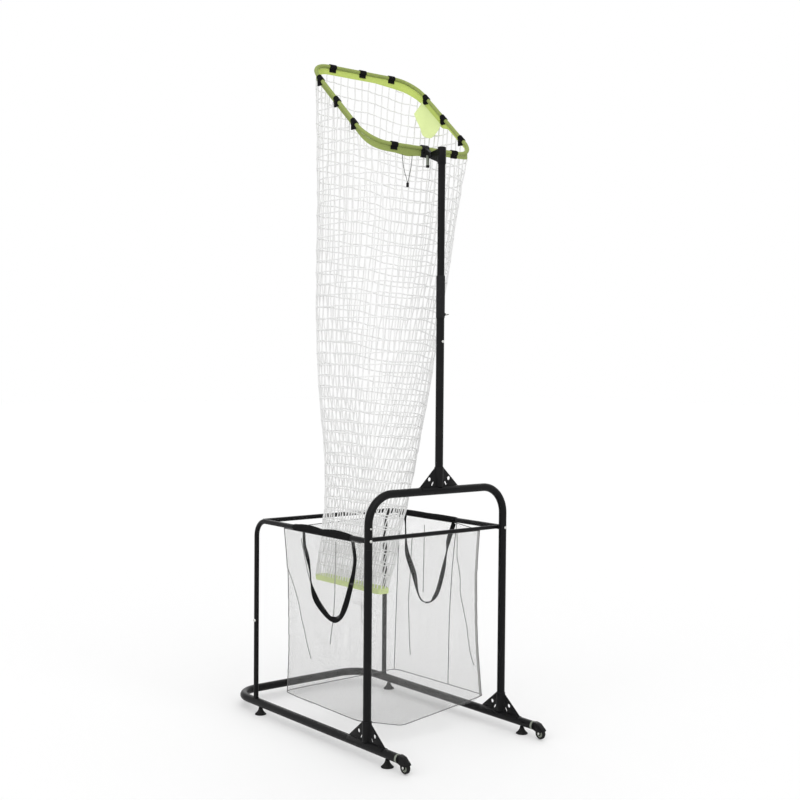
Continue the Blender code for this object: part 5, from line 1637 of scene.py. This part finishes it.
@dataclass
class NetChute:
    """The knotted square netting, from the hoop's border down to its hem in the bag.

    The seed fixes the noise that shifts its knots, so that every run gives the same net.
    A section is its height, its middle behind the posts and across, half its length and width, and the
    radius of its corners.
    """

    palette: Palette
    recipes: Recipes
    shape: HoopShape = HoopShape()
    columns: int = 56
    rung: float = 0.047
    cord_r: float = 0.0026
    knot_r: float = 0.0039
    seed: int = 4
    jitter: float = 0.0052
    sag: float = 0.06
    sag_change: float = 0.05
    blend_start: float = 0.375
    blend_end: float = 0.042
    sections: tuple = (
        (2.10, 0.321, -0.020, 0.208, 0.268, 0.130),
        (1.75, 0.324, -0.052, 0.212, 0.228, 0.120),
        (1.40, 0.328, -0.078, 0.216, 0.170, 0.100),
        (1.05, 0.332, -0.100, 0.221, 0.094, 0.070),
        (0.80, 0.335, -0.140, 0.225, 0.046, 0.034),
        (0.6178, HEM_SETBACK, HEM_ACROSS, 0.226, 0.030, HEM_CORNER),
    )
    hem_half: tuple = (0.226, 0.030)
    hem_height: float = 0.021
    hem_points: int = 160
    hem_rows: int = 8
    hem_wall: float = 0.0018

    def level(self, section: tuple) -> Points:
        """Return one section of the net, with a point for each upright cord."""
        height, setback, across, half_long, half_wide, corner = section
        loop = rounded_loop(half_long, half_wide, corner, self.columns)
        return [Vector((POST_X - setback - a, across + b, height)) for a, b in loop]

    def uprights(self, hoop: Hoop) -> list[Points]:
        """Return each upright cord as points from the hem up to the hoop's border."""
        top = [hoop.edge_place(place, 1.0) - UP * 0.0012 for place in self.shape.places(self.columns)]
        levels = [self.level(section) for section in reversed(self.sections)] + [top]
        return [smooth_route([level[i] for level in levels], 10) for i in range(self.columns)]

    def build(self, hoop: Hoop) -> None:
        """Build the netting under a hoop's border, and its hem."""
        noise.seed_set(self.seed)
        drawing = Netting()
        columns = [self.upright(drawing, column, cord) for column, cord in enumerate(self.uprights(hoop))]
        for column, here in enumerate(columns):
            self.rungs(drawing, column, here, columns[(column + 1) % self.columns])
        net = self.recipes.netting.grow("net_netting", drawing.points, drawing.edges, self.palette.twine,
                                        {"crossing": drawing.knots}, Cord_Radius=self.cord_r,
                                        Knot_Radius=self.knot_r)
        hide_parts("net_chute")
        slope, middle = self.shape.slope(), self.shape.middle()
        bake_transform(net)
        LOG.info("%s blends from mast to hoop", net.name)
        self.hem()

    def upright(self, drawing: Netting, column: int, cord: Points) -> list[int]:
        """Draw one upright cord, with a knot at each rung's height along it.

        Args:
            drawing: the net's drawing.
            column: the cord's number.
            cord: the cord's points, from the hem up.

        Returns:
            The numbers of its points.
        """
        run = runs(cord)
        marks = [k * self.rung for k in range(int(run[-1] / self.rung) + 1)] + [run[-1]]
        numbers = []
        for k, mark in enumerate(marks):
            place = Vector([float(np.interp(mark, run, [p[axis] for p in cord])) for axis in range(3)])
            free = 0 < k < len(marks) - 1
            if free:
                place += noise.noise_vector(Vector((column * 1.7, k * 1.3, 0.5))) * self.jitter
            numbers.append(drawing.point(place, free))
        drawing.edges += zip(numbers, numbers[1:])
        return numbers

    def rungs(self, drawing: Netting, column: int, here: list[int], there: list[int]) -> None:
        """Draw the sagging rungs between one upright cord and the next.

        Args:
            drawing: the net's drawing.
            column: the first cord's number.
            here: the first cord's points.
            there: the next cord's points.
        """
        for k in range(1, min(len(here), len(there)) - 1):
            a, b = drawing.points[here[k]], drawing.points[there[k]]
            sag = self.sag + self.sag_change * noise.noise(Vector((column * 2.1, k * 0.9, 3.0)))
            low = drawing.point((a + b) / 2 - UP * ((b - a).length * sag), False)
            drawing.edges += [(here[k], low), (low, there[k])]

    def hem(self) -> None:
        """Build the hem: a folded lime band that the netting is sewn into."""
        loop = rounded_loop(*self.hem_half, HEM_CORNER, self.hem_points)
        loop.append(loop[0])
        cloth = Cloth()
        marks = runs([Vector((a, b, 0.0)) for a, b in loop])
        for (a, b), run in zip(loop, marks):
            row = []
            for down in spread(1.0, self.hem_rows):
                wave = 0.0014 * noise.noise(Vector((a * 12, b * 12, down * 1.5)))
                swell = 0.0010 * math.sin(math.pi * down)
                scale = 1 + (wave + swell - 0.0016) / 0.06
                row.append(Vector((POST_X - HEM_SETBACK - a, HEM_ACROSS + b * scale,
                                   HEM_TOP_Z - self.hem_height * down)))
            cloth.add(row, [(run, place) for place in spread(self.hem_height, self.hem_rows)])
        run = marks[-1]
        obj = thicken(merge(cloth.piece("net_hem_band", self.palette.pale_lime)), self.hem_wall)
        fitted(smooth(obj, 50), Body.MAST, Slot.LIME, "net_hem")


@dataclass
class BallBag:
    """The sheer mesh bag: sagging walls and floor, bound seams, rail sleeves and carrying handles.

    A corner is its distance behind the posts, its place across, and what carries it or its height.
    A handle's mark is its distance behind the posts, its drop below the rim and its turn in degrees.
    """

    palette: Palette
    recipes: Recipes
    rim: tuple = ((0.586, -0.350, "rail"), (0.052, -0.350, "rail"), (0.0265, -0.300, "rod"),
                  (0.0265, 0.250, "rod"), (0.285, 0.350, "rail"), (0.680, 0.350, "rail"))
    floor: tuple = ((0.645, -0.308, 0.092), (0.150, -0.285, 0.074), (0.050, -0.130, 0.050),
                    (0.045, 0.300, 0.105), (0.280, 0.305, 0.100), (0.650, 0.305, 0.095))
    floor_z: float = 0.060
    waist: float = 0.012
    belly: float = 0.006
    fold: float = 0.013
    crease: float = 0.005
    wall_end: float = 0.965
    sleeve_wall: float = 0.0018
    sleeves: tuple = (("right", 0.500, 0.110, 0.0070), ("left", 0.675, 0.290, 0.0012))
    sleeve_count: int = 90
    sleeve_sides: int = 28
    side_points: int = 40
    levels: int = 64
    floor_levels: int = 14
    bound_corners: tuple = (0, 3, 4, 5)
    seam_r: float = 0.0017
    fold_shade_r: float = 0.0019
    # grey lines along the walls' folds, painted crease shade; each mark is a level and a place round the ring
    fold_shade_marks: tuple = (
        ((0.23, 0.5), (0.47, 8.7), (0.72, 14.0)), ((0.04, 10.0), (0.22, 12.4), (0.40, 16.0)),
        ((0.02, 28.0), (0.30, 27.0), (0.60, 24.5)), ((0.10, 190.0), (0.52, 191.5), (0.85, 188.0)),
        ((0.04, 182.0), (0.45, 180.0)), ((0.06, 158.0), (0.47, 141.0), (0.80, 128.0)))
    handle_width: float = 0.025
    handle_thick: float = 0.0016
    handle_lean: float = 0.10
    handles: tuple = (
        ("right", ((0.437, 0.000, 10), (0.439, 0.055, 5), (0.424, 0.105, 0), (0.415, 0.157, 20),
                   (0.412, 0.210, 20), (0.391, 0.264, -25), (0.350, 0.303, -20), (0.290, 0.335, 10),
                   (0.232, 0.322, 10), (0.186, 0.268, -20), (0.136, 0.174, -10), (0.109, 0.112, 5),
                   (0.097, 0.063, 5), (0.103, 0.000, 5))),
        ("left", ((0.640, 0.000, -10), (0.632, 0.030, 25), (0.618, 0.109, 20), (0.601, 0.167, -10),
                  (0.566, 0.217, -30), (0.537, 0.258, -20), (0.508, 0.321, 20), (0.478, 0.355, 35),
                  (0.430, 0.362, 80), (0.397, 0.340, 25), (0.370, 0.301, 0), (0.346, 0.209, 0),
                  (0.334, 0.129, 30), (0.327, 0.076, -5), (0.302, 0.000, -5))),
    )

    def build(self) -> None:
        """Build the bag and everything sewn to it."""
        walls = [self.shape_ring(self.wall_end * k / self.levels) for k in range(self.levels + 1)]
        self.shell(walls)
        self.seams(walls)
        self.fold_shade_lines()
        for sleeve in self.sleeves:
            self.rail_sleeve(*sleeve)
        for side, route in self.handles:
            self.handle(side, route)

    def rim_z(self, carrier: str) -> float:
        """Return the rim's height under a rail's sleeve or under the rod."""
        if carrier == "rod":
            return RAIL_Z - ROD_R - SEAT
        return RAIL_Z - RAIL_R - 2 * SEAT - self.sleeve_wall

    def ring(self, down: float) -> np.ndarray:
        """Return the bag's outline as rows of x, y, z at one level: 0 at the rim, 1 at the floor."""
        corners = []
        for (back, y, carrier), (floor_back, floor_y, floor_z) in zip(self.rim, self.floor):
            top = np.array((POST_X - back, y, self.rim_z(carrier)))
            low = np.array((POST_X - floor_back, floor_y, floor_z))
            corners.append(top + (low - top) * down)
        centre = sum(corners) / len(corners)
        pull = self.waist * math.sin(math.pi * down)
        corners = [corner + (centre - corner) * (pull / np.linalg.norm(centre - corner))
                   for corner in corners]
        count = self.side_points
        sides = zip(corners, corners[1:] + corners[:1])
        ring = np.array([a + (b - a) * k / count for a, b in sides for k in range(count)])
        for _ in range(int(round(1 + 9 * down ** 2))):
            ring = (np.roll(ring, 1, axis=0) + 2 * ring + np.roll(ring, -1, axis=0)) / 4
        return ring

    def shape_ring(self, down: float) -> Points:
        """Return one level, from 0 at the rim to 1 at the floor, with the cloth's sag and folds."""
        ring = self.ring(down)
        centre = ring.mean(axis=0)
        hang = math.sin(math.pi * down)
        count = len(ring)
        points = []
        for i, place in enumerate(ring):
            tangent = ring[(i + 1) % count] - ring[i - 1]
            inward = np.array((-tangent[1], tangent[0], 0.0))
            inward /= max(np.linalg.norm(inward), 1e-9)
            if inward @ (centre - place) < 0:
                inward = -inward
            share = i / count
            fold = self.fold * noise.noise(Vector((share * 34.0, down * 1.1, 0.0)))
            fold += self.crease * noise.noise(Vector((share * 90.0, down * 3.0 + 7.0, 0.0)))
            moved = place + inward * (self.belly * hang + fold * hang ** 0.7)
            points.append(Vector([float(v) for v in moved]))
        return points

    def shell(self, walls: list[Points]) -> None:
        """Build the walls, whose levels are given from the rim down, and the floor as one cloth."""
        grid = list(walls)
        edge = walls[-1]
        centre = sum(edge, Vector()) / len(edge)
        centre.z = self.floor_z
        for k in range(1, self.floor_levels):
            share = k / self.floor_levels
            turn = math.sin(share * math.pi / 2)
            row = []
            for point in edge:
                flat = centre + (point - centre) * (1 - share)
                height = point.z - (point.z - centre.z) * turn ** 0.55
                ripple = 0.006 * noise.noise(Vector((flat.x * 11, flat.y * 11, 1.0))) * (1 - share)
                row.append(Vector((flat.x, flat.y, height + ripple)))
            grid.append(row)
        perimeter = sum((edge[i] - edge[i - 1]).length for i in range(len(edge)))
        around = spread(perimeter, len(edge))
        cloth = Cloth(wrap=True)
        depth = 0.0
        for before, row in zip(grid[:1] + grid, grid):
            depth += sum((a - b).length for a, b in zip(row, before)) / len(row)
            cloth.add(row, [(place, depth) for place in around])
        obj = cloth.piece("ball_bag_cloth", self.palette.mesh, (centre, (perimeter / 2, depth + 0.03)))
        thicken(obj, 0.0008, 0.0)
        fitted(smooth(obj, 60), Body.CART, Slot.MESH, "ball_bag")

    def seams(self, walls: list[Points]) -> None:
        """Build the bound seams on the walls' levels: at the corners, round the floor and the rim."""
        corners = [[row[corner * self.side_points] for row in walls] for corner in self.bound_corners]
        lines = [(line, False) for line in corners] + [(walls[-1], True), (walls[0], True)]
        for number, (points, closed) in enumerate(lines, 1):
            obj = self.recipes.tube.grow(f"bag_seam_{number}", points, chain(points, closed),
                                         self.palette.binding, Radius=self.seam_r, Sides=8)
            fitted(obj, Body.CART, Slot.MESH)
        tape = [point - LEFT * 0.0055 for point in corners[1]]
        obj = ribbon("bag_corner_tape", tape, [AHEAD] * len(tape), 0.013, 0.0014, self.palette.fold_shade_and_tape)
        fitted(obj, Body.CART, Slot.MESH)

    def fold_shade_lines(self) -> None:
        """Build grey lines along the walls' folds: painted shade in the creases."""
        for number, marks in enumerate(self.fold_shade_marks, 1):
            points = self.traced(marks)
            obj = self.recipes.tube.grow(f"bag_pleat_{number}", points, chain(points), self.palette.fold_shade_and_tape,
                                         Radius=self.fold_shade_r, Sides=8)
            fitted(obj, Body.CART, Slot.MESH)

    def traced(self, marks: tuple) -> Points:
        """Return points along a line on the cloth, from marks of a level and a place round its ring."""
        downs, rounds = zip(*marks)
        points = []
        for down in np.linspace(downs[0], downs[-1], 48):
            row = self.shape_ring(float(down))
            place = float(np.interp(down, downs, rounds))
            low = int(place)
            points.append(row[low % len(row)].lerp(row[(low + 1) % len(row)], place - low))
        return points

    def rail_sleeve(self, side: str, back: float, front: float, rise: float) -> None:
        """Build the cloth sleeve that carries one side of the bag, loose and wavy on its rail.

        Args:
            side: which side of the cart.
            back: its back end, behind the posts.
            front: its front end, behind the posts.
            rise: how high its waves stand off the rail.
        """
        y = SIDES[side] * HALF_TRACK
        around = spread(0.084, self.sleeve_sides)
        cloth = Cloth(wrap=True)
        for share in spread(1.0, self.sleeve_count):
            x = POST_X - back + (back - front) * share
            hump = rise * abs(math.sin(math.pi * 2 * share))
            row = []
            for k in range(self.sleeve_sides):
                angle = 2 * math.pi * k / self.sleeve_sides
                loose = 0.0008 + hump * max(0.0, math.sin(angle)) ** 3
                crease = 0.0006 * noise.noise(Vector((x * 45, angle * 1.3, SIDES[side] * 5.0)))
                radius = RAIL_R + SEAT + self.sleeve_wall * 0.6 + loose + crease
                row.append(Vector((x, y + radius * math.cos(angle), RAIL_Z + radius * math.sin(angle))))
            cloth.add(row, [((back - front) * share, place) for place in around])
        obj = thicken(cloth.piece(f"rail_sleeve_{side}", self.palette.webbing), 0.0009)
        fitted(smooth(obj, 50), Body.CART, Slot.WEBBING, f"bag_sleeve_{side}")

    def handle(self, side: str, route: tuple) -> None:
        """Build one webbing handle, sewn inside the rim, whose loop hangs and turns under its own weight.

        Args:
            side: which side of the bag.
            route: its marks, from end to end.
        """
        seat = HALF_TRACK - 0.002 - SEAT - self.handle_thick / 2
        top = self.rim_z("rail") - 0.001
        marks = smooth_route([Vector(mark) for mark in route], 8)
        path = []
        for back, drop, _ in marks:
            across = SIDES[side] * (seat - self.handle_lean * drop)
            path.append(Vector((POST_X - back, across, top - drop)))
        faces = []
        for (_, _, turn), tangent in zip(marks, tangents(path)):
            face = (LEFT - tangent * LEFT.dot(tangent)).normalized()
            way = 1 if tangent.z < 0 else -1
            faces.append(Matrix.Rotation(math.radians(turn) * way, 3, tangent) @ face)
        obj = ribbon(f"handle_{side}", path, faces, self.handle_width, self.handle_thick,
                     self.palette.webbing)
        fitted(obj, Body.CART, Slot.WEBBING, f"bag_handle_{side}")


@dataclass(frozen=True)
class Lamp:
    """One far, wide lamp, whose light is even all over the floor and whose shadows are soft.

    Its direction points towards it, and its strength is in watts for each square metre.
    """

    name: str
    away: tuple[float, float, float]
    strength: float
    width: float = math.radians(55)

    def hang(self) -> None:
        """Put the lamp in the scene."""
        data = bpy.data.lights.new(self.name, "SUN")
        data.energy = self.strength
        data.angle = self.width
        obj = placed(self.name, data)
        obj.location = self.away
        obj.rotation_euler = Vector(self.away).to_track_quat("Z", "Y").to_euler()


@dataclass
class Studio:
    """The camera, the lamps, the white surround and the floor."""

    eye: tuple = (4.0836, -3.1881, 1.5022)
    yaw: float = math.radians(51.2176)
    pitch: float = math.radians(-1.6208)
    roll: float = math.radians(0.464)
    focal_share: float = 1235.99 / 800
    sensor: float = 36.0
    sky: float = 0.62
    floor_shade: float = 0.82
    floor_glow: float = 0.135
    floor_reach: float = 40.0
    lamps: tuple = (Lamp("key", (3.4, -1.0, 3.6), 1.15), Lamp("fill", (1.0, -4.2, 2.0), 0.55),
                    Lamp("back", (-3.6, 2.6, 3.0), 0.60))

    def build(self) -> None:
        """Build the camera, then the surround, the floor and the lamps."""
        self.camera()
        self.surround()
        self.floor()
        for lamp in self.lamps:
            lamp.hang()

    def camera(self) -> None:
        """Set the camera at the photograph's viewing angle."""
        data = bpy.data.cameras.new("camera")
        data.sensor_fit = "HORIZONTAL"
        data.sensor_width = self.sensor
        data.lens = self.focal_share * self.sensor
        forward = Vector((-math.sin(self.yaw) * math.cos(self.pitch),
                          math.cos(self.yaw) * math.cos(self.pitch), math.sin(self.pitch)))
        level = Vector((math.cos(self.yaw), math.sin(self.yaw), 0))
        upright = level.cross(forward)
        right = level * math.cos(self.roll) + upright * math.sin(self.roll)
        above = upright * math.cos(self.roll) - level * math.sin(self.roll)
        obj = placed("camera", data)
        turn = Matrix((right, above, -forward)).transposed().to_4x4()
        obj.matrix_world = Matrix.Translation(Vector(self.eye)) @ turn
        bpy.context.scene.camera = obj

    @staticmethod
    def seen_or_not(tree: NodeTree, lighting: NodeSocket,
                    seen: NodeSocket) -> NodeSocket:
        """Choose between what lights the scene and what is seen, also in gloss and through glass.

        Args:
            tree: the node tree.
            lighting: the shader that lights the scene.
            seen: the shader that is seen.

        Returns:
            The chosen shader.
        """
        rays = tree.nodes.new("ShaderNodeLightPath")
        share = Term(tree, rays.outputs["Is Camera Ray"])
        for name in ("Is Glossy Ray", "Is Transmission Ray"):
            share = share.call("MAXIMUM", Term(tree, rays.outputs[name]))
        return add_node(tree, "ShaderNodeMixShader", {0: share, 1: lighting, 2: seen}).outputs[0]

    def surround(self) -> None:
        """Make the world a soft, even light that looks white."""
        world = bpy.data.worlds.new("surround")
        bpy.context.scene.world = world
        world.use_nodes = True
        tree = world.node_tree
        light, white = tree.nodes["Background"], tree.nodes.new("ShaderNodeBackground")
        for node, strength in ((light, self.sky), (white, 1.0)):
            node.inputs["Color"].default_value = (1, 1, 1, 1)
            node.inputs["Strength"].default_value = strength
        chosen = self.seen_or_not(tree, light.outputs[0], white.outputs[0])
        feed(tree, tree.nodes["World Output"].inputs["Surface"], chosen)

    def floor(self) -> None:
        """Lay a plain pale floor that keeps the object's shadow and looks white round it."""
        bm = bmesh.new()
        reach = self.floor_reach
        corners = ((-1, -1), (1, -1), (1, 1), (-1, 1))
        bm.faces.new([bm.verts.new((x * reach, y * reach, 0)) for x, y in corners])
        g = Graph("studio_floor")
        g.surface(Base_Color=(self.floor_shade,) * 3, Roughness=0.9, Specular_IOR_Level=0.0)
        clear, glow = (g.add("ShaderNodeEmission", {"Strength": strength}).socket
                       for strength in (0.0, self.floor_glow))
        chosen = self.seen_or_not(g.tree, clear, glow)
        total = g.add("ShaderNodeAddShader", {0: g.shader.outputs[0], 1: chosen})
        feed(g.tree, g.tree.nodes["Material Output"].inputs["Surface"], total)
        object_from(bm, "studio_floor", g.material)


def main() -> None:
    """Build every sub-assembly in order."""
    logging.basicConfig(level=logging.INFO, format="%(message)s")
    bpy.context.scene.view_settings.view_transform = "Standard"
    Studio().build()
    palette = Palette()
    recipes = Recipes()
    Hardware(palette).build()
    hoop = Hoop(palette, recipes)
    hoop.build()
    CartFrame(palette, recipes).build()
    NetChute(palette, recipes).build(hoop)
    BallBag(palette, recipes).build()


if __name__ == "__main__":
    main()
